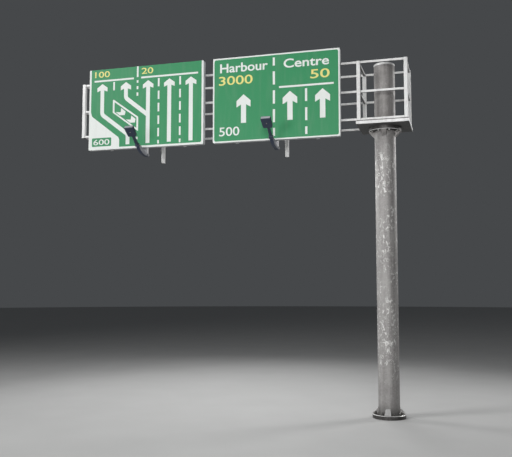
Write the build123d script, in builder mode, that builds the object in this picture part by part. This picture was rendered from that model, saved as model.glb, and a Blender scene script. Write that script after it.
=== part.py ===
"""Overhead sign gantry: a round column that carries a square lattice arm and two lit signs.

Millimetres, +Z up. The origin is the centre of the base flange's underside, on the
column's axis. The arm runs towards -X and the signs face -Y.
"""
import os
from math import cos, radians, sin

from build123d import *

# Column and its two flanges
column_diameter = 457
column_wall = 12.5
flange_width = 126.5
flange_thickness = 85
flange_chamfer = 10
weld_gap = 0.3

# Anchor bolt holes in the base flange, measured out from the column's wall
anchor_count = 8
anchor_offset = 66.5
anchor_hole_diameter = 36

# Gussets between the column and each flange
gusset_count = 4
gusset_reach = 118
gusset_height = 130
gusset_nose = 14
gusset_foot_width = 130
gusset_top_width = 92
gusset_top_reach = 8
gusset_edge = 5

# Lattice arm: heights are those of the bars' centres
arm_height = 6400
lower_panel = 612
upper_panel = 648
frame_depth = 1000
chord_size = 50
chord_corner = 8
post_size = 80
post_corner = 10
cage_length = 1010
arm_overrun = 252

# Platform that joins the column to the arm, and the column's top inside the cage
platform_thickness = 85
platform_lip = 19
platform_corner = 5
column_stub_length = 1315
cap_thickness = 26
cap_chamfer = 8

# Signs: a thin plate with rails round its back, on upright bearers
sign_width = 2900
sign_height = 1940
sign_start = 878
sign_gap = 230
sign_drop = 382
sign_plate = 5
sign_depth = 120
sign_corner = 50
sign_rail = 55
bearer_size = 70
bearer_depth = 75
bearer_inset = 520

# Hanger posts behind each sign, measured from the sign's middle
hanger_drop = 555
hanger_offset_left = 50
hanger_offset_right = 17

# Lamps, one in front of each sign
shoe_wall = 13
shoe_height = 58
bracket_width = 80
bracket_flat = 60
bracket_bend = 580
bracket_tip_length = 80
bracket_throat = 45
bracket_clearance = 23
arm_angle = 36
arm_width = 60
arm_depth = 50
arm_length = 300
head_length = 265
head_front_width = 222
head_rear_width = 200
head_depth = 69
head_drop = 25
head_edge = 8
glass_thickness = 6
glass_margin = 14

# Sizes that follow from the ones above
column_radius = column_diameter / 2
flange_radius = column_radius + flange_width
post_half = post_size / 2
chord_half = chord_size / 2
front = -frame_depth / 2
back = frame_depth / 2
top_chord_height = arm_height + lower_panel + upper_panel
post_top = top_chord_height + chord_half
platform_top = arm_height - chord_half
platform_bottom = platform_top - platform_thickness
head_flange_bottom = platform_bottom - flange_thickness
column_top = platform_top + column_stub_length
sign_back = front - chord_half - bearer_depth
sign_front = sign_back - sign_depth
sign_bottom = arm_height - sign_drop
sign_centres = {
    "1": -(sign_start + sign_width + sign_gap + sign_width / 2),
    "2": -(sign_start + sign_width / 2),
}
hanger_foot = arm_height - hanger_drop
sides = {"front": front, "back": back}
levels = {
    "bottom": arm_height,
    "middle": arm_height + lower_panel,
    "top": top_chord_height,
}
frames = {
    "end": sign_centres["1"] - sign_width / 2 - arm_overrun,
    "left": sign_centres["1"] - hanger_offset_left,
    "right": sign_centres["2"] - hanger_offset_right,
    "cage_left": -cage_length / 2,
    "cage_right": cage_length / 2,
}

os.makedirs("parts", exist_ok=True)


def save(built, label):
    """Label one finished piece and write it as a STEP file of that name."""
    built.part.label = label
    export_step(built.part, f"parts/{label}.step")


def make_base_flange():
    """Thick round base plate with a ring of anchor holes between the gussets."""
    with BuildPart() as base_flange:
        with BuildSketch():
            Circle(flange_radius)
            with PolarLocations(column_radius + anchor_offset, anchor_count, start_angle=180 / anchor_count):
                Circle(anchor_hole_diameter / 2, mode=Mode.SUBTRACT)
        extrude(amount=flange_thickness)
        rim = base_flange.edges().filter_by(GeomType.CIRCLE).group_by(SortBy.RADIUS)[-1]
        chamfer(rim.sort_by(Axis.Z)[-1], flange_chamfer)
    save(base_flange, "base_flange")


def make_head_flange():
    """Flange at the column's head, which carries the platform."""
    with BuildPart() as head_flange:
        with BuildSketch(Plane.XY.offset(head_flange_bottom)):
            Circle(flange_radius)
        extrude(amount=flange_thickness)
        chamfer(head_flange.edges().sort_by(Axis.Z)[0], flange_chamfer)
    save(head_flange, "head_flange")


def make_tube(label, bottom, top):
    """Length of round tube on the column's axis."""
    with BuildPart() as tube:
        with BuildSketch(Plane.XY.offset(bottom)):
            Circle(column_radius)
            Circle(column_radius - column_wall, mode=Mode.SUBTRACT)
        extrude(amount=top - bottom)
    save(tube, label)


def make_gussets():
    """Four tapered blocks that stiffen the base flange, and their mirror image under the head flange."""
    inner = column_radius - gusset_foot_width / 4
    with BuildPart() as gusset:
        nose_plane = Plane.XY.offset(flange_thickness)
        foot_plane = nose_plane.offset(gusset_nose)
        top_plane = nose_plane.offset(gusset_height)
        foot_length = column_radius + gusset_reach - inner
        top_length = column_radius + gusset_top_reach - inner
        with BuildSketch(nose_plane):
            with Locations((inner, 0)):
                Rectangle(foot_length, gusset_foot_width, align=(Align.MIN, Align.CENTER))
        extrude(amount=gusset_nose)
        with BuildSketch(foot_plane):
            with Locations((inner, 0)):
                Rectangle(foot_length, gusset_foot_width, align=(Align.MIN, Align.CENTER))
        with BuildSketch(top_plane):
            with Locations((inner, 0)):
                Rectangle(top_length, gusset_top_width, align=(Align.MIN, Align.CENTER))
        loft()
        sloping = gusset.faces().sort_by(Axis.X)[-2]
        chamfer(sloping.edges().filter_by(lambda edge: edge.length > gusset_height), gusset_edge)
        with Locations((0, 0, flange_thickness)):
            Cylinder(
                column_radius + weld_gap,
                gusset_height,
                align=(Align.CENTER, Align.CENTER, Align.MIN),
                mode=Mode.SUBTRACT,
            )
    with BuildPart() as base_gussets:
        with PolarLocations(0, gusset_count):
            add(gusset.part)
    save(base_gussets, "base_gussets")
    with BuildPart() as head_gussets:
        middle = (flange_thickness + head_flange_bottom) / 2
        add(mirror(base_gussets.part, about=Plane.XY.offset(middle), mode=Mode.PRIVATE))
    save(head_gussets, "head_gussets")


def make_platform():
    """Flat closed box on the head flange, on which the cage stands."""
    with BuildPart() as platform:
        with BuildSketch(Plane.XY.offset(platform_bottom)):
            Rectangle(
                cage_length + post_size + 2 * platform_lip,
                frame_depth + post_size + 2 * platform_lip,
            )
        extrude(amount=platform_thickness)
        chamfer(platform.edges().filter_by(Axis.Z), platform_corner)
    save(platform, "platform")


def make_column_cap():
    """Round plate that closes the column's top."""
    with BuildPart() as cap:
        with BuildSketch(Plane.XY.offset(column_top)):
            Circle(column_radius)
        extrude(amount=cap_thickness)
        chamfer(cap.edges().sort_by(Axis.Z)[-1], cap_chamfer)
    save(cap, "column_cap")


def make_post(label, x, y, bottom):
    """Upright square hollow section of the lattice, with its end caps."""
    with BuildPart() as post:
        with BuildSketch(Plane.XY.offset(bottom)):
            with Locations((x, y)):
                RectangleRounded(post_size, post_size, post_corner)
        extrude(amount=post_top - bottom)
    save(post, label)


def make_chord(label, y, height):
    """One level of the arm's long bars: a length of square section between each two posts."""
    stations = sorted(frames.values())
    with BuildPart() as chord:
        for start, end in zip(stations, stations[1:]):
            with BuildSketch(Plane.YZ.offset(start + post_half)):
                with Locations((y, height)):
                    RectangleRounded(chord_size, chord_size, chord_corner)
            extrude(amount=end - start - post_size)
    save(chord, label)


def make_cross_bars(label, x):
    """Three bars that join the front and back posts of one frame."""
    with BuildPart() as cross_bars:
        with BuildSketch(Plane.XZ.offset(-front - post_half)):
            for height in levels.values():
                with Locations((x, height)):
                    RectangleRounded(chord_size, chord_size, chord_corner)
        extrude(amount=-(frame_depth - post_size))
    save(cross_bars, label)


def make_sign(number):
    """One sign: a thin plate, four edge rails behind it and two upright bearers on the chords."""
    centre_x = sign_centres[number]
    centre_z = sign_bottom + sign_height / 2
    plate_plane = Plane(origin=(centre_x, sign_front, centre_z), x_dir=(1, 0, 0), z_dir=(0, -1, 0))
    rail_plane = plate_plane.offset(-sign_plate)
    with BuildPart() as plate:
        with BuildSketch(plate_plane):
            RectangleRounded(sign_width, sign_height, sign_corner)
        extrude(amount=-sign_plate)
    save(plate, f"sign_{number}_plate")

    inner_height = sign_height - 2 * sign_rail
    rails = {
        "top_rail": (0, inner_height / 2, sign_width, sign_rail),
        "bottom_rail": (0, -sign_height / 2, sign_width, sign_rail),
        "left_rail": (-(sign_width - sign_rail) / 2, -inner_height / 2, sign_rail, inner_height),
        "right_rail": ((sign_width - sign_rail) / 2, -inner_height / 2, sign_rail, inner_height),
    }
    for rail_name, (x, low, width, height) in rails.items():
        with BuildPart() as rail:
            with BuildSketch(rail_plane):
                RectangleRounded(sign_width, sign_height, sign_corner)
                with Locations((x, low)):
                    Rectangle(width, height, align=(Align.CENTER, Align.MIN), mode=Mode.INTERSECT)
            extrude(amount=-(sign_depth - sign_plate))
        save(rail, f"sign_{number}_{rail_name}")

    for side, sign_of_x in (("left", -1), ("right", 1)):
        with BuildPart() as bearer:
            with BuildSketch(plate_plane.offset(-sign_depth)):
                with Locations((sign_of_x * (sign_width / 2 - bearer_inset), 0)):
                    Rectangle(bearer_size, sign_height)
            extrude(amount=-bearer_depth)
        save(bearer, f"sign_{number}_{side}_bearer")


def make_lamp(number, x):
    """One sign lamp: a bent bracket with a shoe under the post, an arm, a flat head and its glass."""
    angle = radians(arm_angle)
    along = Vector(0, -cos(angle), sin(angle))
    across = Vector(0, sin(angle), cos(angle))
    post_face = front - post_half
    bracket_top = sign_bottom - bracket_clearance
    shoe_width = post_size + 2 * shoe_wall

    # Side view of the bracket: local X is world Y and local Y is world Z.
    bend_start = Vector(post_face - bracket_flat, hanger_foot)
    bend_end = bend_start + Vector(-sin(angle), 1 - cos(angle)) * bracket_bend
    tip_low = bend_end + Vector(along.Y, along.Z) * bracket_tip_length
    tip_high = tip_low + Vector(across.Y, across.Z) * arm_depth
    with BuildPart() as bracket:
        with Locations((x, front, hanger_foot)):
            Box(shoe_width, shoe_width, shoe_height, align=(Align.CENTER, Align.CENTER, Align.MIN))
        fillet(bracket.edges().filter_by(Axis.Z), post_corner)
        with BuildSketch(Plane.YZ.offset(x)):
            with BuildLine():
                Line((post_face, hanger_foot), bend_start)
                TangentArc(bend_start, bend_end, tangent=(-1, 0))
                Polyline(
                    bend_end,
                    tip_low,
                    tip_high,
                    (sign_front - bracket_throat, bracket_top),
                    (post_face, bracket_top),
                    (post_face, hanger_foot),
                )
            make_face()
        extrude(amount=bracket_width / 2, both=True)
    save(bracket, f"lamp_{number}_bracket")

    # The arm starts at the middle of the bracket's tip and slopes up, away from the sign.
    tip = Vector(x, tip_low.X, tip_low.Y) + across * (arm_depth / 2)
    with BuildPart() as arm:
        with BuildSketch(Plane(origin=tip, x_dir=(1, 0, 0), z_dir=along)):
            RectangleRounded(arm_width, arm_depth, chord_corner)
        extrude(amount=arm_length)
    save(arm, f"lamp_{number}_arm")

    # The head is a shallow box that tapers towards the arm. Its glass faces the sign.
    head_origin = tip + along * arm_length - across * (arm_depth / 2 + head_drop)
    head_plane = Plane(origin=head_origin, x_dir=along, z_dir=across)
    with BuildPart() as head:
        with BuildSketch(head_plane):
            head_outline(0)
        extrude(amount=head_depth)
        corners = head.edges().filter_by(lambda edge: abs(edge.length - head_depth) < 1)
        chamfer(corners, head_edge)
    save(head, f"lamp_{number}_head")
    with BuildPart() as glass:
        with BuildSketch(head_plane.offset(head_depth)):
            head_outline(glass_margin)
        extrude(amount=glass_thickness)
    save(glass, f"lamp_{number}_glass")


def head_outline(margin):
    """Outline of a lamp head, or of its glass where a margin is given, in the sketch that is open."""
    rear = head_rear_width / 2 - margin
    tip = head_front_width / 2 - margin
    far = head_length - margin
    Polygon((margin, -rear), (far, -tip), (far, tip), (margin, rear), align=None)


make_base_flange()
make_tube("column_tube", flange_thickness, head_flange_bottom)
make_gussets()
make_head_flange()
make_platform()
make_tube("column_stub", platform_top, column_top)
make_column_cap()

for level_name, level_height in levels.items():
    for side_name, side_y in sides.items():
        make_chord(f"chord_{side_name}_{level_name}", side_y, level_height)

# A front hanger post stands in the shoe of its lamp's bracket, so it ends that much higher.
post_bottoms = {
    "end": {"front": platform_top, "back": platform_top},
    "left": {"front": hanger_foot + shoe_height, "back": hanger_foot},
    "right": {"front": hanger_foot + shoe_height, "back": hanger_foot},
    "cage_left": {"front": platform_top, "back": platform_top},
    "cage_right": {"front": platform_top, "back": platform_top},
}
for frame_name, frame_x in frames.items():
    make_cross_bars(f"cross_bars_{frame_name}", frame_x)
    for side_name, side_y in sides.items():
        make_post(f"post_{frame_name}_{side_name}", frame_x, side_y, post_bottoms[frame_name][side_name])

for sign_number in sign_centres:
    make_sign(sign_number)

make_lamp("1", frames["left"])
make_lamp("2", frames["right"])
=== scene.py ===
# %% [markdown]
# # An overhead sign gantry
# A round steel column carries a square lattice arm, two direction signs and their lamps. The steel bars,
# plates and lamps come from the CAD model, which is loaded here as a fixed frame. This lesson gives every
# bar its real finish and adds what a fitter would add on site: bolts, weld beads, clamps, sheeting,
# markings and the insides of the lamps.

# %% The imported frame
from math import cos, pi, radians, sin, sqrt, tan

import bmesh
import bpy
from mathutils import Matrix, Vector


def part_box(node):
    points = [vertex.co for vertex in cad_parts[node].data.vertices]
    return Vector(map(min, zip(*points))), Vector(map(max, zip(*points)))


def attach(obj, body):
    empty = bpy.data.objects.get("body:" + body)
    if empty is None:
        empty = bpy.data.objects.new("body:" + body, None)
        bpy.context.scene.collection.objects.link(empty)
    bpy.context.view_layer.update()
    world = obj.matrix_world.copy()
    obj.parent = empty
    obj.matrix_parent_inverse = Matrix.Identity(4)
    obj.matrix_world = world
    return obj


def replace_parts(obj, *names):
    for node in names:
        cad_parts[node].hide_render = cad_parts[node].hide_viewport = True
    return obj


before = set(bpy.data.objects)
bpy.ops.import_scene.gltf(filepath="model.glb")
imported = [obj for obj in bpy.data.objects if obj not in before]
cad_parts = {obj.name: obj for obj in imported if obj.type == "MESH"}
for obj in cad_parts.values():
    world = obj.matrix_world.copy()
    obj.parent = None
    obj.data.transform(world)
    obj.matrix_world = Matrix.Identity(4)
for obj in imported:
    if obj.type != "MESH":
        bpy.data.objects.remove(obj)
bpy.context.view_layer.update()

MM = 0.001

# %% [markdown]
# ## Camera, floor and light
# The gantry is 8 m tall, so it is seen from about 16 m away, from 2.8 m above the floor, with a 50 mm lens.
# The studio is plain: a pale floor and large soft lights. The key light is high on the left, and two weaker
# ones fill the front from either side. Two stand behind the column, one on each side, and draw its edges,
# because a round grey tube looks flat without them. The last two light the signs' backs and the tops of the
# bars.

# %% Camera, floor and lights
scene = bpy.context.scene
scene.view_settings.view_transform = "Standard"

camera_data = bpy.data.cameras.new("camera")
camera_data.lens = 50
camera_data.sensor_width = 36
camera = bpy.data.objects.new("camera", camera_data)
camera.location = (1.5314, -15.6795, 2.7771)
camera.rotation_euler = (radians(94.729), 0, radians(16.017))
scene.collection.objects.link(camera)
scene.camera = camera

LIGHTS = {
    "key": {"place": (-21, -15, 18), "aim": (-2, 0, 4.5), "size": 8, "watts": 1180},
    "front": {"place": (2, -20, 7), "aim": (-3, 0, 5.5), "size": 6, "watts": 490},
    "low": {"place": (-10, -20, 5), "aim": (-1, 0, 5.5), "size": 5, "watts": 260},
    "left_edge": {"place": (-14, 5, 8), "aim": (0, 0, 4), "size": 4, "watts": 230},
    "right_edge": {"place": (9, 9, 9), "aim": (0, 0, 4), "size": 4, "watts": 270},
    "back": {"place": (-8, 16, 9), "aim": (-3, 0, 6), "size": 6, "watts": 230},
    "top": {"place": (-3, 3, 17), "aim": (-3, 0, 5), "size": 8, "watts": 200},
}
for name, light in LIGHTS.items():
    data = bpy.data.lights.new(f"light_{name}", "AREA")
    data.size = light["size"]
    data.spread = radians(100)
    data.energy = light["watts"]
    lamp = bpy.data.objects.new(f"light_{name}", data)
    lamp.location = light["place"]
    towards = Vector(light["aim"]) - Vector(light["place"])
    lamp.rotation_euler = towards.to_track_quat("-Z", "Y").to_euler()
    scene.collection.objects.link(lamp)
print("lights:", ", ".join(LIGHTS))


# %% [markdown]
# ## One way to add a node
# Every material and every Geometry Nodes tree below is wired with one small function. It adds a node, sets
# its own settings, and fills its inputs, either with values or with the sockets that they are linked from.

# %% Helpers for nodes and colours
A, B, MIXED = 6, 7, 2  # the colour inputs and the colour output of a Mix node


def node(tree, kind, inputs=None, **settings):
    """Add one node to a tree. An input is a value, or the output socket that feeds it."""
    made = tree.nodes.new(kind)
    for setting, value in settings.items():
        setattr(made, setting, value)
    for key, value in (inputs or {}).items():
        if isinstance(value, bpy.types.NodeSocket):
            tree.links.new(value, made.inputs[key])
        else:
            made.inputs[key].default_value = value
    return made


def linear(code):
    """An sRGB hex colour as the linear colour that a shader takes."""
    parts = [int(code[i:i + 2], 16) / 255 for i in (1, 3, 5)]
    return (*(c / 12.92 if c <= 0.04045 else ((c + 0.055) / 1.055) ** 2.4 for c in parts), 1)


def new_material(name, **values):
    """An empty material with one Principled shader; values are set on the shader's own sockets."""
    material = bpy.data.materials.new(name)
    material.use_nodes = True
    tree = material.node_tree
    tree.nodes.clear()
    shader = node(tree, "ShaderNodeBsdfPrincipled", values)
    node(tree, "ShaderNodeOutputMaterial", {"Surface": shader.outputs["BSDF"]})
    return material, tree, shader


print("a mid grey in linear light:", [round(v, 3) for v in linear("#808080")])

# %% [markdown]
# ## Studio floor
# A matt pale floor.

# %% Floor
FLOOR_RADIUS = 90
floor_material, tree, shader = new_material("matt_floor_paint", Roughness=0.75)
place = node(tree, "ShaderNodeTexCoord").outputs["Object"]
mottle = node(tree, "ShaderNodeTexNoise", {"Vector": place, "Scale": 0.8, "Detail": 4})
floor_tone = node(tree, "ShaderNodeMix", {0: mottle.outputs["Fac"], A: linear("#B2B2B1"),
                                          B: linear("#BDBDBC")}, data_type="RGBA")
tree.links.new(floor_tone.outputs[MIXED], shader.inputs["Base Color"])
bpy.ops.mesh.primitive_circle_add(vertices=96, radius=FLOOR_RADIUS, fill_type="NGON")
floor = bpy.context.object
floor.name = "floor"
floor.data.materials.append(floor_material)

world = bpy.data.worlds.new("studio")
world.use_nodes = True
world.node_tree.nodes["Background"].inputs["Color"].default_value = linear("#46484A")
world.node_tree.nodes["Background"].inputs["Strength"].default_value = 1
scene.world = world
print("floor radius", FLOOR_RADIUS, "m")

# %% [markdown]
# ## Galvanised steel
# Every steel piece was dipped in molten zinc. New zinc is bright and shows large crystals, called spangle.
# Weather turns it to a dull grey skin, with pale bloom where the zinc stays wet, darker runs, and small
# scuffs. So one function makes all these finishes: a Voronoi texture is the spangle, stretched noise gives
# the runs, and thresholded noise gives the bloom. The same function can also paint light and shade into the
# colour: painted shade on faces that look down and near the ground, and a painted highlight on sloping
# faces. The real crystals are about 15 mm across and wouldn't show, so they are drawn larger.

# %% Galvanised steel
def galvanised(name, dull, bright, dark, spangle, bloom, bloom_colour, roughness, metallic,
               bloom_heights=(0.7, 6), painted_underside_shade=0.0, painted_bevel_highlight=0.0, painted_foot_shade=0.0):
    """Hot-dip galvanised steel, with sizes in metres. Bloom and the painted shade and highlight amounts run
    from 0 to 1.
    """
    material, tree, shader = new_material(name, Metallic=metallic)
    place = node(tree, "ShaderNodeTexCoord").outputs["Object"]
    cells = node(tree, "ShaderNodeTexVoronoi", {"Vector": place, "Scale": 1 / spangle})
    shade = node(tree, "ShaderNodeSeparateColor", {"Color": cells.outputs["Color"]})
    clouds = node(tree, "ShaderNodeTexNoise", {"Vector": place, "Scale": 1 / 0.45, "Detail": 3,
                                               "Roughness": 0.6})
    long_way = node(tree, "ShaderNodeMapping", {"Vector": place, "Scale": (1, 1, 0.07)})
    runs = node(tree, "ShaderNodeTexNoise", {"Vector": long_way.outputs[0], "Scale": 1 / 0.06, "Detail": 3})
    tone = node(tree, "ShaderNodeMath", {0: clouds.outputs["Fac"], 1: runs.outputs["Fac"]}, operation="ADD")
    tone = node(tree, "ShaderNodeMapRange", {"Value": tone.outputs[0], "From Min": 0.75, "From Max": 1.25},
                interpolation_type="SMOOTHSTEP")
    body = node(tree, "ShaderNodeMix", {0: tone.outputs[0], A: linear(dark), B: linear(dull)},
                data_type="RGBA")
    crystal = node(tree, "ShaderNodeMapRange", {"Value": shade.outputs["Red"], "To Max": 0.4})
    body = node(tree, "ShaderNodeMix", {0: crystal.outputs[0], A: body.outputs[MIXED], B: linear(bright)},
                data_type="RGBA")

    slanted = node(tree, "ShaderNodeMapping", {"Vector": place, "Rotation": (0.3, 0.5, 0),
                                               "Scale": (1, 1, 0.55)})
    flecks = node(tree, "ShaderNodeTexNoise", {"Vector": slanted.outputs[0], "Scale": 1 / 0.05, "Detail": 5,
                                               "Roughness": 0.6, "Distortion": 1.2})
    flecks = node(tree, "ShaderNodeMapRange", {"Value": flecks.outputs["Fac"], "From Min": 0.55,
                                               "From Max": 0.62}, interpolation_type="SMOOTHSTEP")
    zones = node(tree, "ShaderNodeTexNoise", {"Vector": place, "Scale": 1 / 0.35, "Detail": 1})
    zones = node(tree, "ShaderNodeMapRange", {"Value": zones.outputs["Fac"], "From Min": 0.33,
                                              "From Max": 0.53, "To Max": bloom},
                 interpolation_type="SMOOTHSTEP")
    height = node(tree, "ShaderNodeSeparateXYZ", {"Vector": place})
    low, high = bloom_heights
    above = node(tree, "ShaderNodeMapRange", {"Value": height.outputs["Z"], "From Min": low,
                                              "From Max": low + 0.5})
    below = node(tree, "ShaderNodeMapRange", {"Value": height.outputs["Z"], "From Min": high,
                                              "From Max": high - 0.5})
    patch = flecks.outputs[0]
    for factor in (zones, above, below):
        patch = node(tree, "ShaderNodeMath", {0: patch, 1: factor.outputs[0]},
                     operation="MULTIPLY").outputs[0]
    colour = node(tree, "ShaderNodeMix", {0: patch, A: body.outputs[MIXED], B: linear(bloom_colour)},
                  data_type="RGBA")
    # Painted shade: faces that look down are darkened towards near black.
    normal = node(tree, "ShaderNodeNewGeometry").outputs["Normal"]
    facing = node(tree, "ShaderNodeSeparateXYZ", {"Vector": normal})
    downward = node(tree, "ShaderNodeMapRange", {"Value": facing.outputs["Z"], "From Min": -0.75,
                                                 "From Max": -0.97, "To Max": painted_underside_shade},
                    interpolation_type="SMOOTHSTEP")
    colour = node(tree, "ShaderNodeMix", {0: downward.outputs[0], A: colour.outputs[MIXED],
                                          B: linear("#1C1B1A")}, data_type="RGBA")
    # Painted shade: the colour darkens towards dark brown near the ground, over the lowest few decimetres,
    # with a ragged edge.
    painted_foot_mask = node(tree, "ShaderNodeMath", {0: clouds.outputs["Fac"], 1: 0.35, 2: height.outputs["Z"]},
                  operation="MULTIPLY_ADD")
    painted_foot_mask = node(tree, "ShaderNodeMapRange", {"Value": painted_foot_mask.outputs[0], "From Min": 0.55, "From Max": 0.2,
                                               "To Max": painted_foot_shade}, interpolation_type="SMOOTHSTEP")
    colour = node(tree, "ShaderNodeMix", {0: painted_foot_mask.outputs[0], A: colour.outputs[MIXED],
                                          B: linear("#2E2C2A")}, data_type="RGBA")
    # Painted highlight: faces sloping at about 45 degrees, such as bevels, are lightened towards near white.
    tilt = node(tree, "ShaderNodeMath", {0: facing.outputs["Z"]}, operation="ABSOLUTE")
    tilt = node(tree, "ShaderNodeMath", {0: tilt.outputs[0], 1: 0.7}, operation="SUBTRACT")
    tilt = node(tree, "ShaderNodeMath", {0: tilt.outputs[0]}, operation="ABSOLUTE")
    painted_highlight_mask = node(tree, "ShaderNodeMapRange", {"Value": tilt.outputs[0], "From Min": 0.24,
                                                     "From Max": 0.1, "To Max": painted_bevel_highlight},
                        interpolation_type="SMOOTHSTEP")
    colour = node(tree, "ShaderNodeMix", {0: painted_highlight_mask.outputs[0], A: colour.outputs[MIXED],
                                          B: linear("#E9E9E8")}, data_type="RGBA")
    tree.links.new(colour.outputs[MIXED], shader.inputs["Base Color"])

    gloss = node(tree, "ShaderNodeMapRange", {"Value": shade.outputs["Green"], "To Min": roughness - 0.08,
                                              "To Max": roughness + 0.1})
    tree.links.new(gloss.outputs[0], shader.inputs["Roughness"])
    grain = node(tree, "ShaderNodeTexNoise", {"Vector": place, "Scale": 1 / (4 * MM), "Detail": 2})
    relief = node(tree, "ShaderNodeMath", {0: grain.outputs["Fac"], 1: patch}, operation="ADD")
    bump = node(tree, "ShaderNodeBump", {"Height": relief.outputs[0], "Strength": 0.25, "Distance": 0.6 * MM})
    tree.links.new(bump.outputs[0], shader.inputs["Normal"])
    return material


# The column: dull grey, with pale scuffed bloom, and painted shade darkening its foot near the ground.
COLUMN_STEEL = galvanised("weathered_hot_dip_galvanised_steel", dull="#9D9B99", bright="#A9A7A5",
                          dark="#858281", spangle=28 * MM, bloom=1.0, bloom_colour="#D9D8D6",
                          roughness=0.58, metallic=0.3, painted_foot_shade=0.7)
# Inside the cage: the same zinc painted a shade darker, as painted shade, and nearly without bloom.
STUB_STEEL = galvanised("shade_darkened_hot_dip_galvanised_steel", dull="#94918F", bright="#9F9D9B",
                        dark="#777473", spangle=28 * MM, bloom=0.25, bloom_colour="#C9C8C6", roughness=0.58,
                        metallic=0.3, bloom_heights=(6.4, 7.6))
# The lattice: nearly white from a distance, with painted shade darkening the faces where a bar looks down.
FRAME_STEEL = galvanised("bright_hot_dip_galvanised_steel", dull="#E0E0DF", bright="#EDEDEC",
                         dark="#CACAC9", spangle=22 * MM, bloom=0.3, bloom_colour="#F4F4F3", roughness=0.42,
                         metallic=0.15, painted_underside_shade=0.85)
# The flanges: a plate painted dark as painted shade, darker still where it looks down, with a painted
# highlight that draws a bright line along the bevelled edge.
FLANGE_STEEL = galvanised("galvanised_flange_with_painted_shade_and_highlight", dull="#4E4C4B", bright="#62605F", dark="#2E2D2C",
                          spangle=30 * MM, bloom=0.3, bloom_colour="#C9C8C6", roughness=0.45, metallic=0.5,
                          painted_underside_shade=0.9, painted_bevel_highlight=0.9)
# The lower gussets: middle grey, with a painted highlight that makes the sloping faces paler.
GUSSET_STEEL = galvanised("galvanised_gusset", dull="#8B8987", bright="#A09E9C", dark="#5E5C5B",
                          spangle=24 * MM, bloom=0.4, bloom_colour="#D2D1CF", roughness=0.48, metallic=0.4,
                          bloom_heights=(-1, 8), painted_bevel_highlight=0.5)
# Anchor bolts and deck: a dark steel that is painted shade, for the shade between the lower gussets and a
# thin shadow line under the bars, so that they stay quiet.
ANCHOR_STEEL = galvanised("shade_darkened_anchor_steel", dull="#565452", bright="#6B6967", dark="#35332F",
                          spangle=9 * MM, bloom=0.0, bloom_colour="#8B8987", roughness=0.5, metallic=0.5)
# Nuts and washers: finer crystals and a sharper gleam than the bars have.
FASTENER = galvanised("spun_galvanised_fasteners", dull="#A9A8A6", bright="#C2C2C0", dark="#85837F",
                      spangle=9 * MM, bloom=0.2, bloom_colour="#D5D4D2", roughness=0.38, metallic=0.7)
# Weld metal: a rougher, duller grey seam, which shows where two bars meet.
WELD = galvanised("galvanised_weld_metal", dull="#8C8A87", bright="#A3A29F", dark="#6B6865",
                  spangle=8 * MM, bloom=0.0, bloom_colour="#B0AFAD", roughness=0.55, metallic=0.5)
print("steel finishes:", [m.name for m in (COLUMN_STEEL, STUB_STEEL, FRAME_STEEL, FLANGE_STEEL,
                                            GUSSET_STEEL, ANCHOR_STEEL, FASTENER, WELD)])


# %% [markdown]
# ## Sign sheeting
# A sign's face is a plastic sheet full of tiny glass prisms in a honeycomb, under a clear glossy film. The
# green ground is one sheet, and the white and yellow markings are cut from other sheets and stuck on it.
# The cells are about 4 mm across. They are drawn 8 mm across, so that they show close up as a faint net,
# and dust runs down from the top edge.

# %% Sheeting
def sheeting(name, colour, cell_line, dust="#8D9A8C", dusty=0.10):
    """Retroreflective sign sheeting with its honeycomb and a little road dust."""
    material, tree, shader = new_material(name, Roughness=0.45, **{"Specular IOR Level": 0.3,
                                                                   "Coat Weight": 0.06,
                                                                   "Coat Roughness": 0.15})
    place = node(tree, "ShaderNodeTexCoord").outputs["Object"]
    net = node(tree, "ShaderNodeTexVoronoi", {"Vector": place, "Scale": 1 / (8 * MM), "Randomness": 0.15},
               feature="DISTANCE_TO_EDGE")
    line = node(tree, "ShaderNodeMapRange", {"Value": net.outputs["Distance"], "From Min": 0.02,
                                             "From Max": 0.09, "To Min": 0.5, "To Max": 0},
                interpolation_type="SMOOTHSTEP")
    body = node(tree, "ShaderNodeMix", {0: line.outputs[0], A: linear(colour), B: linear(cell_line)},
                data_type="RGBA")
    long_way = node(tree, "ShaderNodeMapping", {"Vector": place, "Scale": (1, 1, 0.12)})
    runs = node(tree, "ShaderNodeTexNoise", {"Vector": long_way.outputs[0], "Scale": 1 / 0.09, "Detail": 4})
    runs = node(tree, "ShaderNodeMapRange", {"Value": runs.outputs["Fac"], "From Min": 0.45, "From Max": 0.75,
                                             "To Max": dusty}, interpolation_type="SMOOTHSTEP")
    colour_out = node(tree, "ShaderNodeMix", {0: runs.outputs[0], A: body.outputs[MIXED], B: linear(dust)},
                      data_type="RGBA")
    tree.links.new(colour_out.outputs[MIXED], shader.inputs["Base Color"])
    bump = node(tree, "ShaderNodeBump", {"Height": net.outputs["Distance"], "Strength": 0.12,
                                         "Distance": 0.3 * MM})
    tree.links.new(bump.outputs[0], shader.inputs["Normal"])
    return material


# The ground: an even, strong green with faint dusty runs.
GREEN = sheeting("green_prismatic_sheeting", "#348B5C", "#2A7E50")
# Borders, arrows and words: a soft white, slightly greyed by dust.
WHITE = sheeting("white_prismatic_sheeting", "#E1E5E2", "#CCD0CC", dust="#B9B8AE")
# Numbers: a pale, warm yellow.
YELLOW = sheeting("yellow_prismatic_sheeting", "#E4DC86", "#D0C76C", dust="#B9AE70")
print("sheeting:", [m.name for m in (GREEN, WHITE, YELLOW)])


# %% [markdown]
# ## Aluminium, lamp paint, glass and plastics
# The sign's edge frame and rails are extruded aluminium, left as it comes from the die, with fine draw
# lines along its length. The lamps are die-cast and powder coated in dark slate, which gives a very fine
# orange-peel texture. Their covers are toughened glass.

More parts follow.
